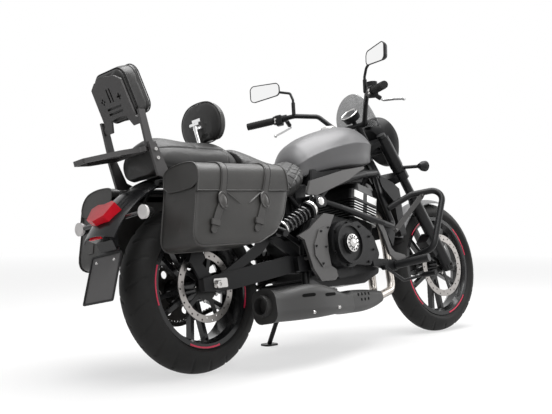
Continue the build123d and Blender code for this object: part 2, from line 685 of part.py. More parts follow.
def luggage_rack():
    """A slotted plate with turned-down sides, behind the passenger."""
    slope = atan2(40, 250)
    plane = Plane(origin=(-190, 0, 832), x_dir=(cos(slope), 0, sin(slope)),
                  z_dir=(-sin(slope), 0, cos(slope)))
    outline = [(0, -108), (0, 108), (-36, 108), (-52, 96), (-140, 92), (-256, 30), (-256, -30), (-140, -92),
               (-52, -96), (-36, -108)]
    rack = extrude(plane * fillet(make_face(Polyline(*outline, close=True)).vertices(), 10), -RACK_DEPTH)
    for y in (-52, 0, 52):
        length = 150 if y else 190
        rack -= extrude(plane * Pos(-30 - length / 2, y) * RectangleRounded(length, 26, 12), 60, both=True)
    hollow = [(-12, -92), (-12, 92), (-138, 84), (-246, 28), (-246, -28), (-138, -84)]
    rack -= extrude(plane.offset(-6) * make_face(Polyline(*hollow, close=True)), -40)
    return rack


# Lights and plate

def tail_light():
    """The red rear lamp on the mudguard."""
    angle = radians(135.2)
    normal = Vector(cos(angle), 0, sin(angle))
    plane = Plane(origin=FENDER_CENTRE + normal * FENDER_RADIUS, x_dir=(0, -1, 0), z_dir=normal)
    corners = [(-66, 26), (-40, 40), (0, 32), (40, 40), (66, 26), (48, -34), (0, -52), (-48, -34)]
    outline = plane * make_face(Polyline(*corners, close=True))
    lens = extrude(outline, 22) + extrude(outline, -30)
    return lens - fender_solid(FENDER_RADIUS + SEAT_GAP)


def indicator_lamp():
    """One round lamp with a domed back, its glass facing the right side."""
    outline = Polyline((0, 0), (25, 0), (23, 18), (12, 44), (0, 48), close=True)
    return revolve(make_face(outline), Axis.Y)


def rear_indicators():
    """A lamp on a stalk on each side of the mudguard."""
    lamp = indicator_lamp().rotate(Axis.Z, -90).translate((-338, -184, 577))
    lamp += rod((-330, -182, 577), (-330, -FENDER_WIDTH / 2 - SEAT_GAP, 577), 8)
    return left_and_right(lamp)


PLATE_PLANE = Plane(origin=(-361, 0, 462), x_dir=(0, -1, 0), z_dir=(-0.935, 0, 0.355))


def plate_holder():
    """The bracket under the tail with the plate's lamp, and the back plate."""
    hood = side_slab([(-408, 516), (-402, 536), (-352, 546), (-342, 470), (-356, 466), (-372, 504)],
                     -46, 46, corner=4)
    back = extrude(PLATE_PLANE * Pos(0, -54) * RectangleRounded(120, 150, 8), -4)
    return hood + back


def number_plate():
    """A blank plate."""
    return extrude(PLATE_PLANE.offset(SEAT_GAP) * Pos(0, -92) * RectangleRounded(168, 176, 6), 3)


# Saddlebags

BAG_TOP = 682.0
LID_EDGE_Z = BAG_HINGE_Z - 4


def bag_outline(grow, top=BAG_TOP):
    """The bag's outline in side view, drawn in by a wall or grown by a gap."""
    rear_top = -262 + 0.268 * (top - 432)
    corners = [(-262, 432), (60, 436), (150, 470), (205, 530), (238, 610), (238, top), (rear_top, top)]
    face = make_face(Polyline(*corners, close=True))
    return offset(face, grow) if grow else face


def bag_right():
    """The bag's body: an open-topped tub with thick walls."""
    outer = extrude(Plane.XZ * bag_outline(0), BAG_OUTER_Y - BAG_INNER_Y).translate((0, -BAG_INNER_Y, 0))
    depth = BAG_OUTER_Y - BAG_INNER_Y - 2 * BAG_WALL
    inner = extrude(Plane.XZ * bag_outline(-BAG_WALL), depth).translate((0, -BAG_INNER_Y - BAG_WALL, 0))
    mouth = Box(420, depth, 40).translate((24, -(BAG_INNER_Y + BAG_OUTER_Y) / 2, 690))
    back = extrude(Plane.XZ * bag_outline(0, LID_EDGE_Z - SEAT_GAP), BAG_WALL).translate((0, -BAG_INNER_Y, 0))
    return outer - inner - mouth + back


def bag_lid_right():
    """The bag's lid: a crowned top with a deep front skirt and two end flaps."""
    far = BAG_OUTER_Y + BAG_LID_GAP
    near = BAG_INNER_Y - BAG_LID_GAP
    low = 622.0

    def cap(far_y, near_y, base, rise):
        crown = (-(far_y + near_y) / 2, 728 + rise)
        outline = [
            Line((-far_y, base), (-far_y, 690 + rise)),
            ThreePointArc((-far_y, 690 + rise), (-far_y + 50, 722 + rise), crown),
            ThreePointArc(crown, (-near_y - 30, 724 + rise), (-near_y, LID_EDGE_Z + rise)),
            Line((-near_y, LID_EDGE_Z + rise), (-near_y, base)),
            Line((-near_y, base), (-far_y, base)),
        ]
        return Plane.YZ * make_face(outline)

    outer = extrude(cap(far + BAG_WALL, near, low, BAG_WALL), 2 * 300, both=True)
    inner = extrude(cap(far, near, low - 1, 0), 2 * 300, both=True)
    ends_out = extrude(Plane.XZ * bag_outline(BAG_LID_GAP + BAG_WALL, top=780), 600, both=True)
    ends_in = extrude(Plane.XZ * bag_outline(BAG_LID_GAP, top=790), 600, both=True)
    lid = (outer & ends_out) - (inner & ends_in)
    keep = Box(900, 400, 60).translate((0, -BAG_INNER_Y + 200 - 2, 650))
    return lid - keep


# Steering

def fork_tubes():
    """The two polished inner tubes."""
    tubes = []
    for side in (-1, 1):
        offset_y = Vector(0, side * FORK_HALF_SPACING, 0)
        low = up_steering(600) + FORK_NORMAL * FORK_OFFSET + offset_y
        top = up_steering(1058) + FORK_NORMAL * FORK_OFFSET + offset_y
        tubes.append(rod(low, top, FORK_TUBE_RADIUS))
    return tubes[0] + tubes[1]


def fork_point(distance, side):
    """A point of one fork leg's centre line."""
    return up_steering(distance) + FORK_NORMAL * FORK_OFFSET + Vector(0, side * FORK_HALF_SPACING, 0)


AXLE_ALONG = TRAIL * sin(radians(RAKE)) + TYRE_RADIUS * cos(radians(RAKE))


def fork_lowers():
    """The two sliders with the axle lugs."""
    legs = []
    for side in (-1, 1):
        leg = rod(fork_point(AXLE_ALONG - 22, side), fork_point(700, side), FORK_LOWER_RADIUS)
        leg += rod(fork_point(700, side), fork_point(712, side), FORK_LOWER_RADIUS - 3)
        lug_y = side * FORK_HALF_SPACING
        leg += rod((WHEELBASE, lug_y - 22, TYRE_RADIUS), (WHEELBASE, lug_y + 22, TYRE_RADIUS), 24)
        leg -= rod(fork_point(598, side), fork_point(720, side), FORK_TUBE_RADIUS)
        leg -= rod((WHEELBASE, lug_y - 40, TYRE_RADIUS), (WHEELBASE, lug_y + 40, TYRE_RADIUS),
                   AXLE_RADIUS)
        legs.append(leg)
    return legs[0] + legs[1]


def front_axle():
    """The hollow front spindle."""
    end = FORK_HALF_SPACING + 22
    spindle = rod((WHEELBASE, -end, TYRE_RADIUS), (WHEELBASE, end, TYRE_RADIUS), AXLE_RADIUS)
    return spindle - rod((WHEELBASE, -end - 1, TYRE_RADIUS), (WHEELBASE, end + 1, TYRE_RADIUS), 7)


def triple_clamp(distance, thickness, reach):
    """One fork bridge: bosses round the legs and a web to the steering stem."""
    base = up_steering(distance)
    plane = Plane(origin=base, x_dir=(0, 1, 0), z_dir=STEERING_DIRECTION)
    outline = [(-FORK_HALF_SPACING, -FORK_OFFSET - 10), (FORK_HALF_SPACING, -FORK_OFFSET - 10),
               (FORK_HALF_SPACING, -FORK_OFFSET + reach), (24, 30), (-24, 30),
               (-FORK_HALF_SPACING, -FORK_OFFSET + reach)]
    bridge = extrude(plane * make_face(Polyline(*outline, close=True)), thickness)
    for side in (-1, 1):
        bridge += extrude(plane * Pos(side * FORK_HALF_SPACING, -FORK_OFFSET) * Circle(reach), thickness)
    for side in (-1, 1):
        bridge -= extrude(plane * Pos(side * FORK_HALF_SPACING, -FORK_OFFSET) * Circle(FORK_TUBE_RADIUS),
                          thickness * 2, both=True)
    return bridge


BRIDGE_TOP = 1039.0
BRIDGE_LOW = 818.0


def fork_bridges():
    """The upper and lower bridges on the steering stem, the legs' covers and the risers for the bar."""
    whole = triple_clamp(BRIDGE_LOW, 38, 31) + triple_clamp(BRIDGE_TOP - 24, 24, 29)
    whole += rod(up_steering(BRIDGE_LOW + 12), up_steering(BRIDGE_TOP - 9), STEM_RADIUS)
    for side in (-1, 1):
        foot = up_steering(1036) + FORK_NORMAL * 6 + Vector(0, side * 44, 0)
        whole += rod(foot, ahead(-463, side * 44, 985), 15)
        whole += ring(fork_point(887, side), fork_point(BRIDGE_TOP - 23, side), FORK_COVER_RADIUS,
                      FORK_TUBE_RADIUS)
    return whole - pipe(BAR_PATH, BAR_RADIUS, 38)


RIGHT_BAR = [ahead(-463, -84, 987), ahead(-513, -150, 1070), ahead(-591, -226, 1086),
             ahead(-711, -421, 1071)]
BAR_PATH = [Vector(point.X, -point.Y, point.Z) for point in reversed(RIGHT_BAR)] + RIGHT_BAR
BAR_END = RIGHT_BAR[-1]
GRIP_DIRECTION = (BAR_END - RIGHT_BAR[-2]).normalized()


def grip_point(distance):
    """A point of the right end of the bar, measured inwards from its end."""
    return BAR_END - GRIP_DIRECTION * distance


def handlebar():
    return pipe(BAR_PATH, BAR_RADIUS, 38)


def grips():
    """The rubber grips over the bar's ends."""
    grip = rod(grip_point(-6), grip_point(GRIP_LENGTH), GRIP_RADIUS)
    grip -= rod(grip_point(0), grip_point(GRIP_LENGTH + 1), BAR_RADIUS)
    return left_and_right(grip)


def hand_controls():
    """The switch housings, the levers in their clamps and the front brake's reservoir."""
    housing = rod(grip_point(GRIP_LENGTH + 1), grip_point(GRIP_LENGTH + 38), 21)
    housing += rod(grip_point(GRIP_LENGTH + 42), grip_point(GRIP_LENGTH + 66), 17)
    housing += rod(LEVER_BLOCK, LEVER_START, 10)
    housing -= rod(grip_point(GRIP_LENGTH), grip_point(GRIP_LENGTH + 70), BAR_RADIUS)
    both = left_and_right(housing)
    pot = grip_point(GRIP_LENGTH + 60) + Vector(18, 0, 16)
    reservoir = rod(pot, pot + Vector(2, 0, 30), 24)
    return both + (reservoir - rod(grip_point(GRIP_LENGTH), grip_point(GRIP_LENGTH + 120), BAR_RADIUS))


LEVER_BLOCK = grip_point(GRIP_LENGTH + 54) + Vector(12, -3, -6)
LEVER_START = ahead(-573, -284, 1054)
LEVER_TIP = ahead(-560, -400, 1026)


def levers():
    """The brake and clutch levers, each with a ball at its tip."""
    out = (LEVER_START - LEVER_BLOCK).normalized()
    start = LEVER_START + out * SEAT_GAP
    lever = pipe([start, start + out * 16, LEVER_START + Vector(20, -60, -16), LEVER_TIP], 5, 9)
    return left_and_right(lever + Sphere(8).translate(LEVER_TIP))


def mirrors():
    """Two mirrors on bent stems."""
    stem = pipe([ahead(-600, -224, 1090), ahead(-591, -225, 1163), ahead(-590, -240, 1199),
                 ahead(-626, -313, 1223)], 6, 12)
    stem += rod(ahead(-598, -224, 1094), ahead(-592, -225, 1150), 9)
    stem -= pipe(BAR_PATH, BAR_RADIUS + SEAT_GAP, 38)
    shell = loft([MIRROR_PLANE * mirror_outline(0), MIRROR_PLANE.offset(-12) * mirror_outline(3),
                  MIRROR_PLANE.offset(-24) * mirror_outline(12)])
    shell -= extrude(MIRROR_PLANE * mirror_outline(4), -4)
    return left_and_right(stem + shell)


MIRROR_PLANE = Plane(origin=ahead(-653, -346, 1226), x_dir=(-0.34, -0.93, 0), z_dir=(-0.93, 0.34, 0.12))


def mirror_outline(shrink):
    """A mirror's outline, taller at its outer end, drawn in by a margin."""
    corners = [(-79 + shrink, shrink - 30), (79 - shrink, shrink - 44), (79 - shrink, 44 - shrink),
               (-79 + shrink, 34 - shrink)]
    return fillet(make_face(Polyline(*corners, close=True)).vertices(), 24 - shrink)


def mirror_glass():
    glass = extrude(MIRROR_PLANE.offset(-1) * mirror_outline(4.3), -3)
    return left_and_right(glass)


def lamp_plane():
    """The plane of the headlamp's rim, parallel to the fork and facing forward."""
    return Plane(origin=ahead(-233, 0, 938), x_dir=(0, 1, 0), z_dir=(cos(radians(27)), 0, sin(radians(27))))


def lamp_outline(grow):
    """An egg-shaped outline, pointed towards the bottom."""
    half, top, low = 88 + grow, 118 + grow, -128 - grow
    return make_face(Spline((0, top), (half * 0.72, top * 0.78), (half, 20), (half * 0.72, -58), (0, low),
                            (-half * 0.72, -58), (-half, 20), (-half * 0.72, top * 0.78), periodic=True))


def lamp_bowl(grow):
    """The bowl behind the headlamp's glass, or the same grown by a gap."""
    plane = lamp_plane()
    return loft([plane * lamp_outline(grow), plane.offset(-40) * lamp_outline(grow - 4),
                 plane.offset(-86) * lamp_outline(grow - 34)])


def headlamp_shell():
    """The bowl and the stem that holds it between the fork legs."""
    plane = lamp_plane()
    shell = lamp_bowl(0)
    shell += rod(plane.from_local_coords((0, -24, -80)), plane.from_local_coords((0, -24, -108)), 20)
    bar = plane.from_local_coords((0, -24, -108))
    reach = FORK_HALF_SPACING - FORK_COVER_RADIUS - SEAT_GAP
    return shell + rod(bar + Vector(0, -reach, 0), bar + Vector(0, reach, 0), 9)


def headlamp_lens():
    plane = lamp_plane()
    return loft([plane.offset(SEAT_GAP) * lamp_outline(-8), plane.offset(10) * lamp_outline(-18),
                 plane.offset(16) * lamp_outline(-40)])


def fly_screen():
    """The small smoked screen above the headlamp."""
    plane = Plane(origin=ahead(-360, 0, 1000), x_dir=(0, 1, 0), z_dir=(0.87, 0, 0.49))
    outline = Polyline((-104, 0), (104, 0), (102, 50), (84, 104), (48, 148), (0, 164), (-48, 148),
                       (-84, 104), (-102, 50), close=True)
    bend, skin = 130.0, 4.0
    centre = plane.offset(skin - bend)
    shell = ring(centre.from_local_coords((0, -10, 0)), centre.from_local_coords((0, 180, 0)), bend,
                 bend - skin)
    screen = extrude(plane * fillet(make_face(outline).vertices(), 12), 60, both=True) & shell
    corners = [(-362, 998), (-372, 1018), (-328, 1036), (-312, 1024), (-338, 982)]
    bracket = side_slab([(WHEELBASE + x, z) for x, z in corners], -20, 20)
    return screen + (bracket - lamp_bowl(SEAT_GAP))


def instrument():
    """The round meter above the bar's clamps."""
    plane = Plane(origin=ahead(-457, 0, 1046), z_dir=(-0.62, 0, 0.78))
    pod = extrude(plane * Circle(42), -26, taper=10)
    pod += extrude(plane * Circle(44), 6)
    seat = FORK_NORMAL * 40
    post = rod(plane.offset(-20).origin, up_steering(BRIDGE_TOP - 2) + seat, 10)
    post -= rod(up_steering(BRIDGE_TOP - 30) + seat, up_steering(BRIDGE_TOP + SEAT_GAP) + seat, 40)
    return pod + post


def front_indicators():
    """A lamp on a stalk beside each fork leg."""
    lamp = indicator_lamp().rotate(Axis.Z, 90).translate(ahead(-201, -196, 774))
    lamp += rod(ahead(-223, -190, 775), ahead(-266, -118, 781), 8)
    lamp += ring(fork_point(866, -1), fork_point(886, -1), 28, FORK_TUBE_RADIUS)
    return left_and_right(lamp)


def front_fender():
    """The front mudguard with its stays to the fork lowers."""
    width = 132.0
    outer = TYRE_RADIUS + 18
    strip = arched_strip(outer, outer - 4, width, 22, 72, -152, FRONT_AXLE)
    leg = fork_point(AXLE_ALONG + outer - 26, -1)
    inner_y = -FORK_HALF_SPACING + FORK_LOWER_RADIUS + SEAT_GAP
    stay = rod((leg.X, inner_y, leg.Z), (leg.X, -width / 2 + 3, leg.Z), 14)
    return strip + left_and_right(stay)


def front_caliper():
    """The front caliper behind the right fork leg."""
    centre = FRONT_AXLE + Vector(-92, 0, 100)
    body = Box(66, 62, 96).rotate(Axis.Y, -40).translate((centre.X, FRONT_DISC_Y - 8, centre.Z))
    slot = DISC_THICKNESS / 2 + 3
    body -= ring((WHEELBASE, FRONT_DISC_Y - slot, TYRE_RADIUS), (WHEELBASE, FRONT_DISC_Y + slot, TYRE_RADIUS),
                 FRONT_DISC_RADIUS + 4, 60)
    keep = rod(fork_point(AXLE_ALONG - 40, -1), fork_point(720, -1), FORK_LOWER_RADIUS + SEAT_GAP)
    return body - keep


# Controls and guards

def crash_bar():
    """One engine guard, from under the head to the foot of the frame."""
    bar = pipe([ahead(-425, -112, 586), ahead(-345, -192, 634), ahead(-250, -312, 642),
                ahead(-388, -298, 376), GUARD_FOOT + Vector(0, 6, 0)], 14, 45)
    bar -= Box(80, 40, 80).translate(GUARD_FOOT + Vector(0, 20, 0))
    return bar - pipe(LOWER_TUBE, LOWER_TUBE_RADIUS + SEAT_GAP, 30)


def crash_bars():
    return left_and_right(crash_bar())


def footpegs():
    """The forward pegs on their hangers, each with its pedal, and the passenger's pegs."""
    peg = rod((1040, -190, 322), (1078, -340, 332), 18)
    hanger = side_slab([(880, 326), (880, 360), (1030, 346), (1062, 322), (1046, 298), (1000, 302)],
                       -190, -176, corner=6)
    hanger += rod((900, -176, 346), (900, -150 - SEAT_GAP, 346), 12)
    pedal = pipe([(940, -204, 316), (1050, -212, 250), (1130, -240, 262), (1134, -300, 264)], 7, 20)
    pedal += rod((1134, -262, 264), (1134, -326, 264), 12)
    pedal += rod((940, -190, 316), (940, -212, 316), 12)
    return left_and_right(peg + hanger + pedal) + passenger_pegs()


def passenger_pegs():
    """The folding pegs behind the rider, on arms from the frame."""
    arm = rod((262, -112, 605), (262, -160, 528), 11)
    arm += rod((262, -154, 530), (252, -285, 470), 14)
    return left_and_right(arm - pipe(REAR_STAY, REAR_STAY_RADIUS + SEAT_GAP, 30))


STAND_PIVOT = Vector(672, 142, 232)
STAND_FOOT = Vector(662, 276, 276 * tan(radians(LEAN)))
STAND_AXIS = (STAND_FOOT - STAND_PIVOT).cross(Vector(-0.97, 0.15, -0.05)).normalized()


def side_stand():
    """The prop stand on the left, out and resting on its foot."""
    ground = Vector(0, -sin(radians(LEAN)), cos(radians(LEAN)))
    ankle = STAND_FOOT + ground * 8
    leg = pipe([STAND_PIVOT, STAND_PIVOT + (ankle - STAND_PIVOT) * 0.5 + Vector(-14, 0, 0), ankle], 10, 60)
    pad = extrude(Plane(origin=STAND_FOOT, x_dir=(1, 0, 0), z_dir=ground) * RectangleRounded(76, 52, 18), 7)
    leg += pad
    leg += rod(STAND_PIVOT + STAND_AXIS * 12, STAND_PIVOT - STAND_AXIS * 12, 20)
    return leg


def stand_bracket():
    """The lug under the engine, on the inner side of the stand's eye."""
    face = STAND_PIVOT - STAND_AXIS * (12 + SEAT_GAP)
    back = STAND_PIVOT - STAND_AXIS * 26
    return rod(face, back, 20) + rod(back, (STAND_PIVOT.X, 84, 272), 11)


PIECES = {
    "rear_tyre": tyre(REAR_AXLE, REAR_TYRE_WIDTH, REAR_RIM_RADIUS, REAR_BEAD_HALF),
    "rear_wheel": rear_wheel(),
    "rear_disc": brake_disc(REAR_AXLE, REAR_DISC_Y, REAR_DISC_RADIUS, 40, 30),
    "rear_sprocket": rear_sprocket(),
    "swingarm": swingarm(),
    "rear_axle": rear_axle(),
    "rear_caliper": rear_caliper(),
    "drive_chain": drive_chain(),
    "shock_absorber": shock_absorber(),
    "shock_spring": shock_spring(),
    "frame": frame(),
    "engine": engine(),
    "cylinders": cylinders(),
    "clutch_cover": clutch_cover(),
    "right_side_cover": right_side_cover(),
    "radiator": radiator(),
    "exhaust_headers": exhaust_headers(),
    "collector": collector(),
    "muffler": muffler(),
    "fuel_tank": fuel_tank(),
    "tank_wings": left_and_right(tank_wing()),
    "rear_fender": rear_fender(),
    "pillion_seat": pillion_seat(),
    "rider_seat": rider_seat(),
    "driver_backrest": driver_backrest(),
    "backrest_post": backrest_post(),
    "sissy_bar": sissy_bar(),
    "sissy_pad": sissy_pad(),
    "tail_light": tail_light(),
    "rear_indicators": rear_indicators(),
    "number_plate": number_plate(),
    "bag_right": bag_right(),
    "bag_left": mirror(bag_right(), about=Plane.XZ),
    "bag_lid_right": bag_lid_right(),
    "bag_lid_left": mirror(bag_lid_right(), about=Plane.XZ),
    "front_brackets": front_brackets(),
    "crash_bars": crash_bars(),
    "footpegs": footpegs(),
    "side_stand": side_stand(),
}

STEERED = {
    "front_tyre": tyre(FRONT_AXLE, FRONT_TYRE_WIDTH, FRONT_RIM_RADIUS, FRONT_BEAD_HALF),
    "front_wheel": front_wheel(),
    "front_disc": brake_disc(FRONT_AXLE, FRONT_DISC_Y, FRONT_DISC_RADIUS, 24, 30),
    "fork_tubes": fork_tubes(),
    "fork_lowers": fork_lowers(),
    "front_axle": front_axle(),
    "fork_bridges": fork_bridges(),
    "handlebar": handlebar(),
    "grips": grips(),
    "hand_controls": hand_controls(),
    "levers": levers(),
    "mirrors": mirrors(),
    "mirror_glass": mirror_glass(),
    "headlamp_shell": headlamp_shell(),
    "headlamp_lens": headlamp_lens(),
    "fly_screen": fly_screen(),
    "instrument": instrument(),
    "front_indicators": front_indicators(),
    "front_fender": front_fender(),
    "front_caliper": front_caliper(),
}

# The lean sets the round crown of the tyres a little below the floor, and this lifts it back.
LIFT = REAR_TYRE_WIDTH / 2 * (1 - cos(radians(LEAN)))


def set_down(shape, steered):
    """Steers a piece if it turns with the fork, then leans it onto the stand."""
    if steered:
        shape = shape.rotate(STEERING_AXIS, STEER_REST)
    return shape.rotate(Axis.X, -LEAN).translate((0, 0, LIFT))


placed = {name: set_down(shape, False) for name, shape in PIECES.items()}
placed.update({name: set_down(shape, True) for name, shape in STEERED.items()})
boxes = [shape.bounding_box() for shape in placed.values()]
MIDDLE_X = (min(box.min.X for box in boxes) + max(box.max.X for box in boxes)) / 2
MIDDLE_Y = (min(box.min.Y for box in boxes) + max(box.max.Y for box in boxes)) / 2
SHIFT = Vector(-MIDDLE_X, -MIDDLE_Y, 0)

os.makedirs("parts", exist_ok=True)
for name, shape in placed.items():
    export_step(shape.translate(SHIFT), f"parts/{name}.step")
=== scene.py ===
import json
from math import acos, asin, atan2, cos, pi, radians, sin

import bmesh
import bpy
from mathutils import Matrix, Vector
from mathutils.bvhtree import BVHTree


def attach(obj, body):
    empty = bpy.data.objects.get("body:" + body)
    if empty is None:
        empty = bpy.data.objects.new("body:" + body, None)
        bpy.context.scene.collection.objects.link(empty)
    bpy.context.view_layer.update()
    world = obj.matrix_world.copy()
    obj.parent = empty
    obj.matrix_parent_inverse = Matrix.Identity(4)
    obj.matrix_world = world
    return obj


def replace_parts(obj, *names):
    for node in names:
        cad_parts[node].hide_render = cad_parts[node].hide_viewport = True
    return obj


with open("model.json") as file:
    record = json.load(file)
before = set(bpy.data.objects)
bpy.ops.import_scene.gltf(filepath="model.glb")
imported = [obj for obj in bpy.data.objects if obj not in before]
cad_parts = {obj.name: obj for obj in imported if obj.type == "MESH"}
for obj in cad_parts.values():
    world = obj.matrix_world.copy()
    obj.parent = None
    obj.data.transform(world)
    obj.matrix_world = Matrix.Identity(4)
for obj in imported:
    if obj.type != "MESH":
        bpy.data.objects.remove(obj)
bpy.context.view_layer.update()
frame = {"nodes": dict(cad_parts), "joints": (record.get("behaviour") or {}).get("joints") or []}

# How the machine stands
# It leans on its side stand, with the steering a little to the right. Places below are those of the
# upright machine, in metres from the rear tyre's contact point: X forward, Y left, Z up.

RAKE = radians(31)
TRAIL = 0.120
WHEELBASE = 1.575
TYRE_RADIUS = 0.312
LEAN = radians(10.9)
STEER = radians(-3.4)

joints = {joint["name"]: joint for joint in frame["joints"]}
leaning = Matrix.Rotation(-LEAN, 4, "X")
axle_place = Vector(joints["rear_wheel_spin"]["pos_m"])
STANCE = Matrix.Translation(axle_place - leaning @ Vector((0, 0, TYRE_RADIUS))) @ leaning
steering_foot = Vector((WHEELBASE + TRAIL, 0, 0))
steering_line = Vector((-sin(RAKE), 0, cos(RAKE)))
FORK = (STANCE @ Matrix.Translation(steering_foot) @ Matrix.Rotation(STEER, 4, steering_line)
        @ Matrix.Translation(-steering_foot))


# The camera and the studio
# The camera stands behind the right side at hip height, as in the photograph. The floor is a pale
# sheet that runs up to white, under a broad soft light overhead and weaker ones at side and front.

MM = 0.001
CHASSIS = STANCE @ Matrix.Scale(MM, 4)
STEERED = FORK @ Matrix.Scale(MM, 4)
PLACES = {"steering": STEERED, "front_wheel_body": STEERED}

camera = bpy.data.objects.new("camera", bpy.data.cameras.new("camera"))
bpy.context.collection.objects.link(camera)
camera.location = STANCE.translation + Vector((-2.4496, -2.6510, 0.6568))
yaw, pitch = radians(42.913), radians(-0.689)
gaze = Vector((cos(yaw) * cos(pitch), sin(yaw) * cos(pitch), sin(pitch)))
camera.rotation_euler = gaze.to_track_quat("-Z", "Y").to_euler()
camera.data.sensor_width = 36
camera.data.lens = 63.77
camera.data.clip_end = 100
bpy.context.scene.camera = camera


class Wire:
    """One socket of a node tree. Sums and products of wires add the nodes that work them out."""

    def __init__(self, graph, socket):
        self.graph = graph
        self.socket = socket

    def maths(self, operation, *terms):
        return self.graph.node("ShaderNodeMath", {"operation": operation}, dict(enumerate(terms)))

    def __add__(self, other):
        return self.maths("ADD", self, other)

    def __sub__(self, other):
        return self.maths("SUBTRACT", self, other)

    def __rsub__(self, other):
        return self.maths("SUBTRACT", other, self)

    def __mul__(self, other):
        return self.maths("MULTIPLY", self, other)

    def __truediv__(self, other):
        return self.maths("DIVIDE", self, other)

    def __gt__(self, other):
        return self.maths("GREATER_THAN", self, other)

    def __lt__(self, other):
        return self.maths("LESS_THAN", self, other)

    __radd__ = __add__
    __rmul__ = __mul__

    def distance(self, point):
        """How far the place that this wire gives is from a point."""
        return self.graph.node("ShaderNodeVectorMath", {"operation": "DISTANCE"},
                               {0: self, 1: point}, output=1)

    def along(self, point, direction):
        """How far the place lies past a point, along a direction."""
        moved = self.graph.node("ShaderNodeVectorMath", {"operation": "SUBTRACT"}, {0: self, 1: point})
        return self.graph.node("ShaderNodeVectorMath", {"operation": "DOT_PRODUCT"},
                               {0: moved, 1: direction}, output=1)


class Graph:
    """A node tree that is written as expressions."""

    def __init__(self, tree):
        self.tree = tree

    def node(self, kind, settings=None, sockets=None, output=0):
        made = self.tree.nodes.new(kind)
        for name, value in (settings or {}).items():
            setattr(made, name, value)
        for name, value in (sockets or {}).items():
            if isinstance(value, Wire):
                self.tree.links.new(value.socket, made.inputs[name])
            else:
                made.inputs[name].default_value = value
        return Wire(self, made.outputs[output])


class Finish(Graph):
    """A material. Its settings are the shader's sockets by name, as numbers, colours or wires."""

    def __init__(self, name, **settings):
        self.material = bpy.data.materials.new(name)
        self.material.use_nodes = True
        super().__init__(self.material.node_tree)
        self.shader = self.tree.nodes["Principled BSDF"]
        self.set(**settings)

    def set(self, **settings):
        for name, value in settings.items():
            socket = self.shader.inputs[name.replace("_", " ").title().replace("Ior", "IOR")]
            if isinstance(value, Wire):
                self.tree.links.new(value.socket, socket)
            else:
                socket.default_value = (*value, 1) if isinstance(value, tuple) else value

    def place(self):
        """Where a point lies on the piece."""
        return self.node("ShaderNodeTexCoord", output=3)

    def cloud(self, scale, detail=3.0, roughness=0.5):
        """Smooth random shade, about 0.5 on average."""
        return self.node("ShaderNodeTexNoise", {}, {
            "Vector": self.place(), "Scale": scale, "Detail": detail, "Roughness": roughness})

    def grain(self, scale):
        """Cell edges, as in the grain of leather."""
        return self.node("ShaderNodeTexVoronoi", {"feature": "DISTANCE_TO_EDGE"},
                         {"Vector": self.place(), "Scale": scale})

    def between(self, share, low, high):
        """A value or a colour that runs from low to high."""
        if isinstance(low, tuple):
            return self.node("ShaderNodeMix", {"data_type": "RGBA"},
                             {0: share, 6: (*low, 1), 7: (*high, 1)}, output=2)
        return share * (high - low) + low

    def relief(self, height, strength, distance=0.001):
        """Bumps as high as a distance, in metres."""
        return self.node("ShaderNodeBump", {},
                         {"Height": height, "Strength": strength, "Distance": distance})


def looked_at(graph):
    """One where the camera sees a surface, straight or in a mirror or through glass, and else nothing."""
    camera_ray, glossy_ray, clear_ray = (graph.node("ShaderNodeLightPath", output=output)
                                         for output in (0, 3, 6))
    return graph.node("ShaderNodeMath", {"operation": "MINIMUM"},
                      {0: camera_ray + glossy_ray + clear_ray, 1: 1.0})


def stage_finish(name, colour, glow):
    """A matt sheet that looks paler to the camera and in mirrors than its own light makes it."""
    finish = Finish(name, base_color=colour, roughness=0.9)
    far = finish.place().distance((0, 0, 0))
    fade = finish.node("ShaderNodeMapRange", {}, {"Value": far, 1: 1.6, 2: 7.0, 3: glow, 4: 1.0})
    white = finish.node("ShaderNodeEmission", {}, {"Color": (1, 1, 1, 1), "Strength": 1.0})
    mixed = finish.node("ShaderNodeMixShader", {}, {
        0: looked_at(finish) * fade,
        1: Wire(finish, finish.shader.outputs[0]), 2: white})
    finish.tree.links.new(mixed.socket, finish.tree.nodes["Material Output"].inputs[0])
    return finish


FLOOR_REACH = 30.0
floor_mesh = bpy.data.meshes.new("floor")
floor_corners = ((-1, -1), (1, -1), (1, 1), (-1, 1))
floor_mesh.from_pydata([(x * FLOOR_REACH, y * FLOOR_REACH, 0) for x, y in floor_corners], [], [(0, 1, 2, 3)])
floor = bpy.data.objects.new("floor", floor_mesh)
bpy.context.collection.objects.link(floor)
floor_mesh.materials.append(stage_finish("floor_sheet", (0.86, 0.85, 0.84), 0.62).material)

world = bpy.data.worlds.new("studio")
bpy.context.scene.world = world
world.use_nodes = True
studio = Graph(world.node_tree)
soft = studio.node("ShaderNodeBackground", {}, {"Color": (0.93, 0.96, 1, 1), "Strength": 0.28})
plain = studio.node("ShaderNodeBackground", {}, {"Color": (1, 1, 1, 1), "Strength": 1.0})
sky = studio.node("ShaderNodeMixShader", {}, {0: looked_at(studio), 1: soft, 2: plain})
world.node_tree.links.new(sky.socket, world.node_tree.nodes["World Output"].inputs[0])


def lamp(name, place, aim, width, height, power):
    light = bpy.data.lights.new(name, "AREA")
    light.shape = "RECTANGLE"
    light.size, light.size_y = width, height
    light.energy = power
    lamp_object = bpy.data.objects.new(name, light)
    bpy.context.collection.objects.link(lamp_object)
    lamp_object.location = place
    lamp_object.rotation_euler = (Vector(aim) - Vector(place)).to_track_quat("-Z", "Y").to_euler()


lamp("overhead", (0.2, -0.3, 3.4), (0, 0, 0.4), 3.8, 2.8, 225)
lamp("side", (-1.2, -4.2, 2.2), (0, 0, 0.6), 3.0, 2.0, 36)
lamp("front", (4.2, -1.5, 2.0), (0.3, 0, 0.6), 2.0, 2.0, 40)

bpy.context.scene.view_settings.view_transform = "Standard"


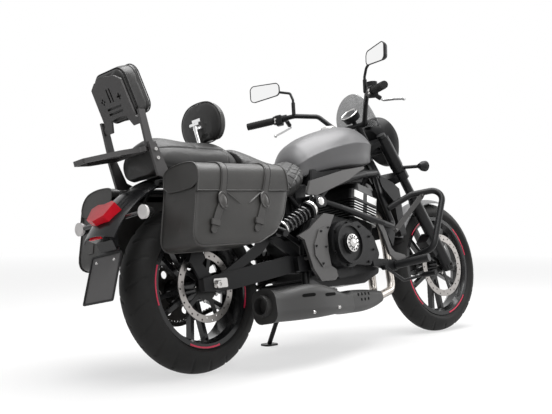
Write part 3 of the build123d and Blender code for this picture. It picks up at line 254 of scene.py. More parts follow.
# Frame, swingarm and guards
# Welded steel tube and box beams under satin black paint. The paint has a faint orange peel, and dust
# dulls it in patches. The grey brackets ahead of the engine carry the bolted guard.

def paint(name, colour, roughness, peel=0.02, **settings):
    """Sprayed paint: a fine ripple in the surface, and gloss that varies from place to place."""
    finish = Finish(name, **settings)
    dark, pale = (tuple(share * channel for channel in colour) for share in (0.8, 1.25))
    finish.set(base_color=finish.between(finish.cloud(4.0, 5.0), dark, pale),
               roughness=finish.between(finish.cloud(7.0, 4.0), roughness - 0.04, roughness + 0.04),
               normal=finish.relief(finish.cloud(900.0, 1.0), peel))
    return finish


def dress(finish, *nodes):
    """Gives built pieces their finish."""
    for node in nodes:
        mesh = frame["nodes"][node].data
        mesh.materials.clear()
        mesh.materials.append(finish.material)


frame_paint = paint("frame_paint", (0.006, 0.006, 0.0065), 0.36, specular_ior_level=0.2)
dress(frame_paint, "frame", "swingarm", "crash_bars", "side_stand", "fork_bridges", "handlebar")
plate_paint = paint("plate_paint", (0.034, 0.032, 0.032), 0.4, peel=0.05)
dress(plate_paint, "sissy_bar")
cover_paint = paint("cover_paint", (0.078, 0.076, 0.075), 0.45, metallic=0.4)
dress(cover_paint, "right_side_cover", "tank_wings", "front_brackets")


# Seats
# The rider's seat is foam under black vinyl, quilted in diamonds towards the tank and down its flanks.
# The passenger's seat is plain, with a sewn seam round its top panel.

def vinyl(name, colour, roughness, grain=0.1):
    """Grained vinyl or leather: fine cells over soft creases, a little paler where it is rubbed."""
    finish = Finish(name, specular_ior_level=0.4)
    worn = finish.cloud(11.0, 6.0, 0.6)
    dark, pale = (tuple(share * channel for channel in colour) for share in (0.66, 1.5))
    creases = finish.cloud(26.0, 5.0, 0.65) * 3.0 + finish.grain(900.0)
    finish.set(base_color=finish.between(worn, dark, pale),
               roughness=finish.between(finish.cloud(60.0), roughness - 0.07, roughness + 0.07),
               normal=finish.relief(creases, grain))
    return finish


def fix(shape, finish, body="chassis", smooth=True):
    """Puts a new piece on its body, with its finish."""
    mesh = shape.data
    mesh.materials.clear()
    mesh.materials.append(finish.material)
    mesh.polygons.foreach_set("use_smooth", [smooth] * len(mesh.polygons))
    if smooth:
        mesh.set_sharp_from_angle(angle=radians(38))
    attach(shape, body)


def free_piece(name, mesh):
    made = bpy.data.objects.new(name, mesh)
    bpy.context.collection.objects.link(made)
    return made


def settled(shape):
    """Turns what a piece's modifiers make into its own mesh."""
    graph = bpy.context.evaluated_depsgraph_get()
    mesh = bpy.data.meshes.new_from_object(shape.evaluated_get(graph))
    shape.modifiers.clear()
    shape.data = mesh


def upholster(node, voxel, swell, finish, fine=2, relief=None, held=None, moved_by=None):
    """Foam under a cover: the built solid, rounded and swollen, with its sewn lines pressed in."""
    mesh = frame["nodes"][node].data.copy()
    shape = bmesh.new()
    shape.from_mesh(mesh)
    bmesh.ops.remove_doubles(shape, verts=shape.verts, dist=1e-5)
    shape.to_mesh(mesh)
    shape.free()
    mesh.transform(STANCE.inverted())
    cover = free_piece(node + "_cover", mesh)
    cut = cover.modifiers.new("voxels", "REMESH")
    cut.mode = "VOXEL"
    cut.voxel_size = voxel
    round_off = cover.modifiers.new("round_off", "SMOOTH")
    round_off.factor = 0.5
    round_off.iterations = 4
    settled(cover)
    for vertex in cover.data.vertices:
        vertex.co -= vertex.normal * swell * 0.4
    start = [vertex.co.copy() for vertex in cover.data.vertices]
    ways = [vertex.normal.copy() for vertex in cover.data.vertices]
    cloth = cover.modifiers.new("cloth", "CLOTH")
    cloth.settings.use_pressure = True
    cloth.settings.uniform_pressure_force = 4
    cloth.settings.effector_weights.gravity = 0
    for step in range(1, 21):
        bpy.context.scene.frame_set(step)
    graph = bpy.context.evaluated_depsgraph_get()
    swollen = bpy.data.meshes.new_from_object(cover.evaluated_get(graph))
    cover.modifiers.remove(cloth)
    for vertex, first, way, moved in zip(cover.data.vertices, start, ways, swollen.vertices):
        move = moved.co - first
        sunk = move.dot(way) + 0.0015
        if sunk < 0:
            move -= way * sunk
        if held:
            move *= held(first / MM, way)
        if move.length > swell:
            move *= swell / move.length
        vertex.co = first + move
    bpy.context.scene.frame_set(1)
    subdivision = cover.modifiers.new("subdivision", "SUBSURF")
    subdivision.levels = subdivision.render_levels = fine
    settled(cover)
    if moved_by:
        for vertex in cover.data.vertices:
            vertex.co += moved_by(vertex.co / MM) * MM
    if relief:
        ways = [vertex.normal.copy() for vertex in cover.data.vertices]
        for vertex, way in zip(cover.data.vertices, ways):
            vertex.co += way * relief(vertex.co / MM, way) * MM
    cover.data.transform(STANCE)
    fix(cover, finish)
    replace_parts(cover, node)


def groove(distance, width, depth):
    """How far a sewn line presses the cover in, at a distance from the line."""
    return -depth * 2.718 ** (-(distance / width) ** 2)


QUILT_PITCH = 62.0
QUILT_START = 430.0


def rider_seat_relief(place, way):
    x, y, z = place
    spread = abs(y) + max(0.0, 808 - z) * 0.9
    depth = 0.0
    if x > QUILT_START and way.z > -0.5:
        for lean in (1, -1):
            line = (x - QUILT_START + lean * spread) / QUILT_PITCH
            near = abs(line - round(line)) * QUILT_PITCH * 0.7
            depth = min(depth, groove(near, 3.2, 3.4))
    if way.z > -0.4:
        depth = min(depth, groove(abs(x - QUILT_START + 4), 3.0, 3.6), groove(abs(z - 668), 2.6, 2.6))
    return depth


def pillion_relief(place, way):
    x, y, z = place
    crown = 866 - 0.00022 * (x - 20) ** 2
    edge = abs(z - (crown - 34)) if x < 178 else 99
    front = abs(x - 178) if z > 740 else 99
    return min(groove(edge, 2.8, 3.0), groove(front, 2.8, 3.0)) if way.z > -0.4 else 0.0


def rests_below(place, way):
    return 0.0 if way.z < -0.4 else 1.0


seat_vinyl = vinyl("seat_vinyl", (0.020, 0.0195, 0.019), 0.5)
upholster("rider_seat", 0.007, 0.006, seat_vinyl, 2, rider_seat_relief, rests_below)
upholster("pillion_seat", 0.007, 0.006, seat_vinyl, 2, pillion_relief, rests_below)


# Back pads
# Each is foam on a steel backing under black vinyl, with a piped seam round its edge. The rider's own
# pad stands on a chromed post, and the passenger's is bolted to the slotted plate.

class Heap:
    """Shapes that become one mesh. They are drawn in millimetres, on the upright machine."""

    def __init__(self):
        self.vertices = []
        self.faces = []

    def add(self, vertices, faces):
        start = len(self.vertices)
        self.vertices += [Vector(vertex) for vertex in vertices]
        self.faces += [[start + index for index in face] for face in faces]

    def loft(self, rings, looped=False):
        """Skins rings of as many points each, and closes the ends unless they meet."""
        count = len(rings[0])
        faces = []
        steps = len(rings) if looped else len(rings) - 1
        for ring in range(steps):
            following = (ring + 1) % len(rings)
            for index in range(count):
                beside = (index + 1) % count
                faces.append([ring * count + index, ring * count + beside,
                              following * count + beside, following * count + index])
        if not looped:
            faces.append(list(range(count))[::-1])
            faces.append([(len(rings) - 1) * count + index for index in range(count)])
        self.add([point for ring in rings for point in ring], faces)

    def stack(self, plane, outline, levels):
        """An outline on a plane, lifted to each height and drawn in by each factor."""
        self.loft([[plane @ Vector((x * grow, y * grow, height)) for x, y in outline]
                   for height, grow in levels])

    def tube(self, path, radius, sides=8, looped=False):
        """A round bead along a path."""
        path = [Vector(point) for point in path]
        rings = []
        side = None
        for index, point in enumerate(path):
            after = path[(index + 1) % len(path)] if looped or index + 1 < len(path) else point
            before = path[index - 1] if looped or index else point
            along = (after - before).normalized()
            side = along.orthogonal() if side is None else side - along * side.dot(along)
            side.normalize()
            other = along.cross(side)
            angles = [2 * pi * turn / sides for turn in range(sides)]
            rings.append([point + (side * cos(angle) + other * sin(angle)) * radius for angle in angles])
        self.loft(rings, looped=looped)

    def lathe(self, profile, place, sides=32):
        """Turns a profile of (radius, height) about a plane's axis."""
        rings = []
        for radius, height in profile:
            rings.append([place @ Vector((radius * cos(2 * pi * turn / sides),
                                          radius * sin(2 * pi * turn / sides), height))
                          for turn in range(sides)])
        self.loft(rings)

    def band(self, path, across, width, thickness):
        """A flat strap along a path, with rounded edges, that lies on what is below it."""
        path = [Vector(point) for point in path]
        across = Vector(across).normalized()
        rings = []
        for index, point in enumerate(path):
            along = path[min(index + 1, len(path) - 1)] - path[max(index - 1, 0)]
            up = across.cross(along.normalized())
            half = width[index] / 2 if isinstance(width, list) else width / 2
            edge = min(thickness * 0.4, half * 0.4)
            rings.append([point - across * half, point - across * half + up * (thickness - edge),
                          point - across * (half - edge) + up * thickness,
                          point + across * (half - edge) + up * thickness,
                          point + across * half + up * (thickness - edge), point + across * half])
        self.loft(rings)

    def piece(self, name, finish, slot, body="chassis", smooth=True):
        """The heap as one finished piece on its body."""
        mesh = bpy.data.meshes.new(name)
        mesh.from_pydata(self.vertices, [], self.faces)
        mesh.transform(PLACES.get(body, CHASSIS))
        shape = bmesh.new()
        shape.from_mesh(mesh)
        bmesh.ops.recalc_face_normals(shape, faces=shape.faces)
        shape.to_mesh(mesh)
        shape.free()
        made = free_piece(name, mesh)
        fix(made, finish, body, smooth)
        return made


def plane_at(origin, normal, right=(0, -1, 0)):
    """A plane on the upright machine: local x to the right, y up and z out along the normal."""
    out = Vector(normal).normalized()
    across = Vector(right)
    across = (across - out * across.dot(out)).normalized()
    up = out.cross(across)
    turned = Matrix((across, up, out)).transposed().to_4x4()
    return Matrix.Translation(Vector(origin)) @ turned


def curve(points, steps=6, looped=False):
    """A smooth line through points."""
    points = [Vector(point) for point in points]
    line = []
    last = len(points) if looped else len(points) - 1
    for index in range(last):
        if looped:
            a, b, c, d = (points[(index + shift) % len(points)] for shift in (-1, 0, 1, 2))
        else:
            a, b, c, d = (points[min(max(index + shift, 0), len(points) - 1)] for shift in (-1, 0, 1, 2))
        for step in range(steps):
            t = step / steps
            line.append(0.5 * (2 * b + (c - a) * t + (2 * a - 5 * b + 4 * c - d) * t ** 2
                               + (3 * b - a - 3 * c + d) * t ** 3))
    return line if looped else line + [points[-1]]


pad_vinyl = vinyl("pad_vinyl", (0.017, 0.0165, 0.016), 0.42)
SISSY_LEAN = Vector((-0.944, 0, -0.33)).normalized()
SISSY_ORIGIN = Vector((-229, 0, 942))


def sissy_relief(place, way):
    behind = (place - SISSY_ORIGIN).dot(SISSY_LEAN)
    return min(groove(abs(behind + 20), 2.6, 3.0), groove(abs(behind + 70), 2.6, 3.0))


def sissy_seams(place, way):
    """The cover can't shift where it is sewn to the piping."""
    behind = (place - SISSY_ORIGIN).dot(SISSY_LEAN)
    return min(1.0, abs(behind + 20) / 18, abs(behind + 70) / 18)


def backrest_seam(place, way):
    return min(1.0, abs((place - Vector((155, 0, 951))).dot(Vector((0.999, 0, 0.05))) - 9) / 14)


def fuller(place):
    """The pad stands a little clear of its plate, and is fuller in front."""
    behind = (place - SISSY_ORIGIN).dot(SISSY_LEAN)
    return SISSY_LEAN * (behind * 0.4 - 4)


upholster("driver_backrest", 0.005, 0.006, pad_vinyl, 1, held=backrest_seam)
upholster("sissy_pad", 0.005, 0.005, pad_vinyl, 2, sissy_relief, sissy_seams, fuller)
piping = Heap()
sissy_plane = plane_at(SISSY_ORIGIN, SISSY_LEAN)


def round_loop(half_width, half_height, corner, middle=(0, 0), steps=9):
    """A rounded rectangle's points."""
    loop = []
    for quarter in range(4):
        centre_x = (half_width - corner) * (1 if quarter in (0, 3) else -1) + middle[0]
        centre_y = (half_height - corner) * (1 if quarter < 2 else -1) + middle[1]
        for step in range(steps):
            angle = pi / 2 * (quarter + step / (steps - 1))
            loop.append((centre_x + corner * cos(angle), centre_y + corner * sin(angle)))
    return loop


for behind, shrink in ((-24, 4), (-88, 5)):
    line = [sissy_plane @ Vector((x, y, behind))
            for x, y in round_loop(90 - shrink, 97 - shrink, 40, (0, 92))]
    piping.tube(line, 2.4, 8, looped=True)
backrest_plane = plane_at((155, 0, 951), (1, 0, 0.05), (0, 1, 0))
pad_line = [(0, -80), (72, -75), (110, -34), (110, 28), (68, 74), (0, 86), (-68, 74), (-110, 28),
            (-110, -34), (-72, -75)]
line = curve([backrest_plane @ Vector((x * 0.985, y * 0.985, 9)) for x, y in pad_line], 6, looped=True)
piping.tube(line, 2.4, 8, looped=True)
piping.piece("pad_piping", pad_vinyl, "pad_leather")


# Bags
# Stiff black leather over a shaped tub. The barrel lid is hinged along its inner edge, and two straps
# run over it to oval buckles. Each end of the lid has a sewn flap with a piped edge.

BAG_INNER, BAG_OUTER = 152.0, 330.0
BAG_CORNERS = [(-262, 432, 46), (60, 436, 60), (150, 470, 70), (205, 530, 70), (238, 610, 60),
               (238, 700, 4), (-192, 700, 4)]
bag_leather = vinyl("bag_leather", (0.022, 0.021, 0.0195), 0.42, grain=0.14)
strap_leather = vinyl("strap_leather", (0.03, 0.0285, 0.027), 0.38, grain=0.1)


def varied(name, colour, scale, low, high, **settings):
    """A finish of one colour, whose roughness varies in patches."""
    finish = Finish(name, base_color=colour, **settings)
    finish.set(roughness=finish.between(finish.cloud(scale), low, high))
    return finish


thread = varied("strap_thread", (0.008, 0.008, 0.008), 900.0, 0.7, 0.9)


def rounded(corners, steps=5):
    """An outline whose corners (x, z, radius) are round."""
    loop = []
    for index, (x, z, radius) in enumerate(corners):
        here = Vector((x, z))
        before = Vector(corners[index - 1][:2]) - here
        after = Vector(corners[(index + 1) % len(corners)][:2]) - here
        half = before.angle(after) / 2
        cut = min(radius / max(0.001, abs(sin(half) / cos(half))), before.length * 0.48, after.length * 0.48)
        start, end = here + before.normalized() * cut, here + after.normalized() * cut
        for step in range(steps + 1):
            t = step / steps
            loop.append(start * (1 - t) ** 2 + here * 2 * t * (1 - t) + end * t ** 2)
    return loop


def inset(loop, distance):
    """The outline drawn in, or grown where the distance is below nothing."""
    moved = []
    for index, point in enumerate(loop):
        tangent = (loop[(index + 1) % len(loop)] - loop[index - 1]).normalized()
        moved.append(point + Vector((-tangent.y, tangent.x)) * distance)
    return moved


def filled(loop, spacing=14.0):
    """The outline with points added along its long sides."""
    points = []
    for index, point in enumerate(loop):
        after = loop[(index + 1) % len(loop)]
        steps = max(1, round((after - point).length / spacing))
        points += [point.lerp(after, step / steps) for step in range(steps)]
    return points


def bag_body(side, name):
    """The tub: rings from the inner wall outwards, cut off level under the lid and given a wall."""
    loop = filled(rounded(BAG_CORNERS))
    middle = Vector((0, 560))
    shape = Heap()
    rings = []
    stations = [(BAG_INNER, 6), (BAG_INNER + 3, 1.6), (BAG_INNER + 8, 0)]
    stations += [(BAG_INNER + 8 + 154 * step / 14, -2.2 * sin(pi * step / 14)) for step in range(1, 15)]
    stations += [(BAG_OUTER - 4, 1.2), (BAG_OUTER - 1.5, 3.6), (BAG_OUTER, 8)]
    for depth, drawn in stations:
        rings.append([(x, side * depth, z) for x, z in inset(loop, drawn)])
    for step in range(1, 14):
        ring = []
        for place in inset(loop, 8):
            x, z = place.lerp(middle, step / 14)
            swell = 5.5 * max(0.0, cos(pi * (x - 5) / 520)) * max(0.0, cos(pi * (z - 545) / 250))
            ring.append((x, side * (BAG_OUTER + swell), z))
        rings.append(ring)
    shape.loft(rings)
    mesh = bpy.data.meshes.new(name)
    mesh.from_pydata(shape.vertices, [], shape.faces)
    cut = bmesh.new()
    cut.from_mesh(mesh)
    bmesh.ops.recalc_face_normals(cut, faces=cut.faces)
    bmesh.ops.bisect_plane(cut, geom=cut.verts[:] + cut.edges[:] + cut.faces[:], plane_co=(0, 0, 670),
                           plane_no=(0, 0, 1), clear_outer=True)
    cut.to_mesh(mesh)
    cut.free()
    tub = free_piece(name, mesh)
    wall = tub.modifiers.new("wall", "SOLIDIFY")
    wall.thickness = 4
    wall.offset = -1
    settled(tub)
    tub.data.transform(CHASSIS)
    fix(tub, bag_leather)
    return tub


def lid_section(side, grow=0.0):
    """The lid's section from the hinge over the crown to the bottom of its front skirt."""
    inner, outer = BAG_INNER - 1.5, BAG_OUTER + 5.5
    line = [(inner, 692), (inner + 1, 708), (inner + 8, 720), (inner + 30, 729), (inner + 75, 734),
            (outer - 70, 733), (outer - 36, 726), (outer - 14, 711), (outer - 3, 690), (outer, 665),
            (outer, 640), (outer - 0.5, 620)]
    middle = Vector((0, (inner + outer) / 2, 660))
    points = curve([(0, y, z) for y, z in line], 5)
    return [(side * (p.y + grow * (p - middle).normalized().y), p.z + grow * (p - middle).normalized().z)
            for p in points]


LID_FRONT = 244.0


def lid_rear(z):
    """The bag's sloping rear end, at a height."""
    return -268 + 0.268 * (z - 432)


def across_lid(share, outline):
    """An outline of (y, z) points, at a share of the lid's length from its rear end."""
    return [Vector((lid_rear(z) + (LID_FRONT - lid_rear(z)) * share, y, z)) for y, z in outline]


def bag_lid(side, name, body):
    """The barrel lid with its piped edges, and a flap on each end."""
    shape = Heap()
    profile = lid_section(side)
    shape.loft([across_lid(column / 44, profile + lid_section(side, -3.6)[::-1]) for column in range(45)])
    for share in (0.004, 0.996):
        shape.tube(across_lid(share, lid_section(side, 0.3)), 2.6, 7)
    shape.tube([(x, side * (BAG_OUTER + 5.2), 622) for x in range(-214, 246, 10)], 2.4, 6)
    lid = shape.piece(name, bag_leather, "bag_leather", body)
    ends = Heap()
    outer = abs(profile[-1][0])
    outline = [(y, z) for y, z in profile if z > 668]
    outline += [(side * (outer - 6), 650), (side * (outer - 30), 638), (side * (outer - 90), 636),
                (side * (outer - 150), 640), (side * (BAG_INNER + 4), 660)]
    for share, inward in ((0, 3.4), (1, -3.4)):
        flap = across_lid(share, outline)
        ends.loft([flap, [point + Vector((inward, 0, 0)) for point in flap]])
        ends.tube(flap, 2.6, 6, looped=True)
    ends.piece(name + "_ends", bag_leather, "bag_leather", body)
    return lid


STRAPS = ((-62, -95, -106, -135, -153, -166), (164, 115, 103, 80, 62, 46))


def bag_straps(side, name, lid_body):
    """Two straps on the lid, and two on the body below the buckles."""
    top, low, metal, sewn = Heap(), Heap(), Heap(), Heap()
    outer, face = BAG_OUTER + 6, BAG_OUTER + 4
    heart = Vector((0, side * 240, 660))
    for crown, skirt, buckle, middle, end, tip in STRAPS:
        path = []
        for y, z in lid_section(side, 0.2)[8:]:
            share = min(1.0, max(0.0, (735 - z) / 115))
            path.append((crown + (skirt - crown) * share, y, z))
        path.append((skirt - 6, side * (outer + 1), 604))
        path.append((buckle, side * (outer + 1), 586))
        top.band(path[::side], (1, 0, -0.05), 32, 4.6)
        for edge in (-12, 12):
            line = []
            for point in path[:-1]:
                away = Vector(point) - heart
                away.x = 0
                line.append(Vector(point) + Vector((edge, 0, 0)) + away.normalized() * 4.5)
            sewn.tube(line, 0.9, 4)
        below = [(buckle + 4, side * (face + 1), 606), (buckle, side * (face + 2.5), 585),
                 (middle, side * (face + 2), 540), (end, side * (face + 2), 508),
                 (tip, side * (face + 1), 482), (tip - 4, side * (face + 1), 474)]
        low.band(below[::side], (1, 0, -0.25), [29, 29, 29, 28, 26, 8][::side], 4.6)
        keeper = [(end + 2, side * (face + 2), 520), (end - 4, side * (face + 3), 500)]
        low.band(keeper[::side], (1, 0, -0.25), 40, 8)
        medal = plane_at((buckle, side * (outer + 3.5), 586), (0, side, 0), (-side * 0.95, 0, 0.2))
        squeeze = medal @ Matrix.Diagonal((0.74, 1, 1, 1))
        metal.lathe([(0.5, -2), (29, -2), (31, 0), (31, 3), (29, 5), (25, 4.6), (24, 3.4), (21, 3.6),
                     (16, 6), (8, 7.6), (0.5, 8)], squeeze, 36)
        pin = medal @ Matrix.Translation((0, -25, 0))
        metal.lathe([(0.3, 2), (2.4, 3), (2.4, 6.4), (1.4, 7.2), (0.3, 7.4)], pin, 12)
    top.piece(name + "_lid_straps", strap_leather, "bag_leather", lid_body)
    sewn.piece(name + "_stitches", thread, "bag_leather", lid_body)
    low.piece(name + "_straps", strap_leather, "bag_leather")
    metal.piece(name + "_buckles", buckle_metal, "bag_leather", lid_body)


def bag_seams(side, name):
    """Piping round the outer face, and the seam and lock tab on the rear end."""
    seams = Heap()
    loop = [point for point in filled(rounded(BAG_CORNERS)) if point.y < 668]
    gap = max(range(len(loop)), key=lambda index: (loop[index] - loop[index - 1]).length)
    line = loop[gap:] + loop[:gap]
    for depth in (BAG_OUTER - 4, BAG_INNER + 5):
        seams.tube([(x, side * depth, z) for x, z in inset(line, -0.6)], 2.6, 7)
    seams.tube([(lid_rear(600) + 5, side * depth, 600 + 6 * sin(depth / 30)) for depth in range(160, 324, 8)],
               1.3, 6)
    tab = [(lid_rear(z) + 3.4, side * 250, z) for z in (528, 516, 504, 492)]
    seams.band(tab[::side], (0, 1, 0), 30, 3)
    seams.piece(name + "_seams", strap_leather, "bag_leather")


buckle_metal = varied("buckle_metal", (0.07, 0.068, 0.066), 90.0, 0.3, 0.45, metallic=0.8)
for side, word in ((-1, "right"), (1, "left")):
    tub = bag_body(side, "leather_bag_" + word)
    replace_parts(tub, "bag_" + word)
    lid = bag_lid(side, "leather_lid_" + word, word + "_lid_body")
    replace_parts(lid, "bag_lid_" + word)
    bag_straps(side, "bag_" + word, word + "_lid_body")
    bag_seams(side, "bag_" + word)


# Engine
# Cast aluminium cases in black crackle paint. The fins' edges and the head are machined bright. Socket
# screws hold the covers, and screws like them hold the passenger's plate to its bars.

casting = Finish("engine_casting", base_color=(0.007, 0.007, 0.0075), metallic=0.2, specular_ior_level=0.3)
casting.set(roughness=casting.between(casting.cloud(30.0), 0.32, 0.48),
            normal=casting.relief(casting.cloud(420.0, 2.0), 0.12, 0.002))
dress(casting, "engine", "clutch_cover", "fork_lowers", "rear_caliper", "front_caliper", "footpegs",
      "shock_absorber", "fork_tubes")

BLOCK_FOOT = Vector((958, 0, 524))
BLOCK_LEAN = radians(17)
block_up = (STANCE.to_3x3() @ Vector((sin(BLOCK_LEAN), 0, cos(BLOCK_LEAN)))).normalized()
block_ahead = (STANCE.to_3x3() @ Vector((cos(BLOCK_LEAN), 0, -sin(BLOCK_LEAN)))).normalized()
block_right = (STANCE.to_3x3() @ Vector((0, -1, 0))).normalized()
block_paint = Finish("block_paint")
foot = CHASSIS @ BLOCK_FOOT
height = block_paint.place().along(foot, block_up)
fin = block_paint.node("ShaderNodeMath", {"operation": "FRACT"}, {0: (height - 0.006) / 0.012}) < 0.34
out = block_paint.place().along(foot, block_right)
ahead = block_paint.place().along(foot, block_ahead)
gap = block_paint.node("ShaderNodeMath", {"operation": "ABSOLUTE"}, {0: ahead + 0.004}) > 0.014
edges = fin * (height > 0.005) * (height < 0.0885) * gap
edges = edges * (out > 0.1165)
head = (height > 0.1) * (height < 0.132) * (out > 0.1145) * gap
bright = block_paint.node("ShaderNodeMath", {"operation": "MAXIMUM"}, {0: edges, 1: head})
block_paint.set(base_color=block_paint.between(bright, (0.008, 0.008, 0.0085), (0.72, 0.72, 0.71)),
                roughness=block_paint.between(block_paint.cloud(40.0), 0.3, 0.42),
                metallic=block_paint.between(bright, 0.2, 1.0))
dress(block_paint, "cylinders")
spring_paint = paint("spring_paint", (0.006, 0.006, 0.0065), 0.2, coat_weight=0.5)
dress(spring_paint, "shock_spring")
chain_steel = varied("chain_steel", (0.07, 0.066, 0.062), 90.0, 0.3, 0.6, metallic=0.9)
dress(chain_steel, "drive_chain", "rear_sprocket")
bright_steel = varied("bright_steel", (0.62, 0.61, 0.6), 120.0, 0.18, 0.3, metallic=1.0)
black_steel = varied("black_steel", (0.02, 0.02, 0.021), 120.0, 0.25, 0.4, metallic=0.7)


def node_group(name, inputs):
    """A node tree with named inputs, and the wires that come from them."""
    tree = bpy.data.node_groups.new(name, "GeometryNodeTree")
    for label, kind in inputs.items():
        tree.interface.new_socket(label, in_out="INPUT", socket_type="NodeSocket" + kind)
    tree.interface.new_socket("Result", in_out="OUTPUT", socket_type="NodeSocketGeometry")
    made = Graph(tree)
    given = tree.nodes.new("NodeGroupInput")
    return made, [Wire(made, given.outputs[index]) for index in range(len(inputs))]


def finished(made, instances, coat):
    """Ends a tree: its instances become real and get their finish."""
    real = made.node("GeometryNodeRealizeInstances", {}, {"Geometry": instances})
    coated = made.node("GeometryNodeSetMaterial", {}, {"Geometry": real, "Material": coat})
    made.tree.links.new(coated.socket, made.tree.nodes.new("NodeGroupOutput").inputs[0])
    return made.tree


def run_nodes(seed, tree, values):
    """Runs a node tree on a mesh, and keeps what it makes."""
    nodes = seed.modifiers.new("nodes", "NODES")
    nodes.node_group = tree
    for socket in tree.interface.items_tree:
        if socket.in_out == "INPUT" and socket.name in values:
            nodes[socket.identifier] = values[socket.name]
    settled(seed)


def screw_heads():
    """Nodes that set a socket screw's head on each point, along the point's own facing."""
    made, (places, radius, tall, coat) = node_group("screw_heads", {
        "Places": "Geometry", "Head Radius": "Float", "Head Height": "Float", "Finish": "Material"})
    drum = made.node("GeometryNodeMeshCone", {}, {
        "Vertices": 12, "Radius Bottom": radius, "Radius Top": radius * 0.84, "Depth": tall})
    top = Wire(made, drum.socket.node.outputs["Top"])
    rim = made.node("GeometryNodeExtrudeMesh", {}, {"Mesh": drum, "Selection": top, "Offset Scale": 0})
    top = Wire(made, rim.socket.node.outputs["Top"])
    narrow = made.node("GeometryNodeScaleElements", {}, {"Geometry": rim, "Selection": top, "Scale": 0.56})
    socket = made.node("GeometryNodeExtrudeMesh", {}, {
        "Mesh": narrow, "Selection": top, "Offset Scale": tall * -0.6})
    facing = made.node("GeometryNodeInputNamedAttribute", {"data_type": "FLOAT_VECTOR"}, {"Name": "facing"})
    turned = made.node("FunctionNodeAlignRotationToVector", {"axis": "Z"}, {"Vector": facing})
    heads = made.node("GeometryNodeInstanceOnPoints", {}, {
        "Points": places, "Instance": socket, "Rotation": turned})
    return finished(made, heads, coat)


SCREW_HEADS = screw_heads()


def screws(name, points, facings, radius, tall, finish, slot, body="chassis"):
    """Socket screws on points, each facing its own way. Their sizes are in millimetres."""
    place = PLACES.get(body, CHASSIS)
    mesh = bpy.data.meshes.new(name)
    mesh.from_pydata([place @ Vector(point) for point in points], [], [])
    facing = mesh.attributes.new("facing", "FLOAT_VECTOR", "POINT")
    turn = place.to_3x3().normalized()
    for item, way in zip(facing.data, facings):
        item.vector = turn @ Vector(way)
    seed = free_piece(name, mesh)
    run_nodes(seed, SCREW_HEADS, {
        "Head Radius": radius * MM, "Head Height": tall * MM, "Finish": finish.material})
    fix(seed, finish, body)


RIGHT = (0, -1, 0)
CLUTCH = Vector((690, 0, 424))
rim_screws = [CLUTCH + Vector((90 * cos(angle), -216.4, 90 * sin(angle)))
              for angle in [radians(20 + 60 * turn) for turn in range(6)]]
CASE_SCREWS = ((716, 350), (806, 496), (864, 452), (882, 396), (836, 346))
case_screws = [Vector((x, -200.4, z)) for x, z in CASE_SCREWS]
screws("clutch_screws", rim_screws + case_screws, [RIGHT] * 11, 5.8, 6, black_steel, "engine_black")
left_screws = [Vector((760, 206.4, 420)) + Vector((84 * cos(angle), 0, 84 * sin(angle)))
               for angle in [radians(15 + 60 * turn) for turn in range(6)]]
screws("left_case_screws", left_screws, [(0, 1, 0)] * 6, 5.8, 6, black_steel, "engine_black")
screws("plate_screws", [(x, side * 126.6, z) for side in (-1, 1) for x, z in ((-196, 812), (-190, 780))],
       [(0, side, 0) for side in (-1, -1, 1, 1)], 7.5, 5, bright_steel, "axle_steel")
PANEL_SCREWS = ((544, 482), (590, 496), (561, 418), (530, 352), (504, 424))
screws("side_cover_screws", [(x, -209.5, z) for x, z in PANEL_SCREWS], [RIGHT] * 5, 5.2, 4, black_steel,
       "cover_grey")

clutch_face = plane_at((690, -246, 424), RIGHT, (1, 0, 0))
cap = Heap()
cap.lathe([(20, -2), (36, -1), (37, 1.5), (35, 3), (23, 3.2), (21.5, 1.5), (20, -2)], clutch_face, 48)
cap.lathe([(0.4, -2), (17, -1), (17, 2.2), (15, 3.4), (0.4, 3.6)], clutch_face, 40)
cap.piece("clutch_ring", bright_steel, "cylinder_alloy")
notches = Heap()
for notch in range(12):
    turned = clutch_face @ Matrix.Rotation(2 * pi * notch / 12, 4, "Z")
    corners = [(25, -2.4), (33, -3.2), (33, 3.2), (25, 2.4)]
    notches.stack(turned, corners, ((3.1, 1), (4.0, 1)))
notches.piece("clutch_notches", black_steel, "engine_black", smooth=False)


# Battery box and air box
# Two moulded boxes of dull black plastic fill the frame between its rails: one with ribbed sides under
# the rider's seat, and a flat one under the tank.

plastic = Finish("black_plastic", specular_ior_level=0.16)
plastic.set(base_color=plastic.between(plastic.cloud(9.0), (0.007, 0.007, 0.0075), (0.012, 0.012, 0.0125)),
            roughness=plastic.between(plastic.cloud(20.0), 0.36, 0.5),
            normal=plastic.relief(plastic.cloud(1500.0, 1.0), 0.08))
box_shape = Heap()
box_outline = [(392, 520, 12), (548, 520, 12), (600, 566, 16), (640, 698, 10), (392, 698, 10)]
loop = filled(rounded(box_outline), 20)
box_shape.loft([[(x, y, z) for x, z in inset(loop, drawn)]
                for y, drawn in ((-88, 5), (-85, 0), (85, 0), (88, 5))])
for side in (-1, 1):
    for rib in range(5):
        x = 418 + rib * 34
        box_shape.loft([[(x + dx, side * y, z) for dx, z in ((-4, 548), (4, 548), (4, 668), (-4, 668))]
                        for y in (87, 92)])
box_shape.piece("battery_box", plastic, "control_black")
air_box = Heap()
loop = filled(rounded([(650, 694, 8), (1004, 704, 20), (1036, 776, 10), (664, 764, 10)]), 30)
air_box.loft([[(x, y, z) for x, z in inset(loop, drawn)]
              for y, drawn in ((-104, 6), (-98, 0), (98, 0), (104, 6))])
air_box.piece("air_box", plastic, "control_black")


# Guard braces
# A flat strut on each side ties the engine guard's top run to its bracket on the frame. It is cut from
# plate, painted grey like the brackets, with a hexagon bolt at each end.

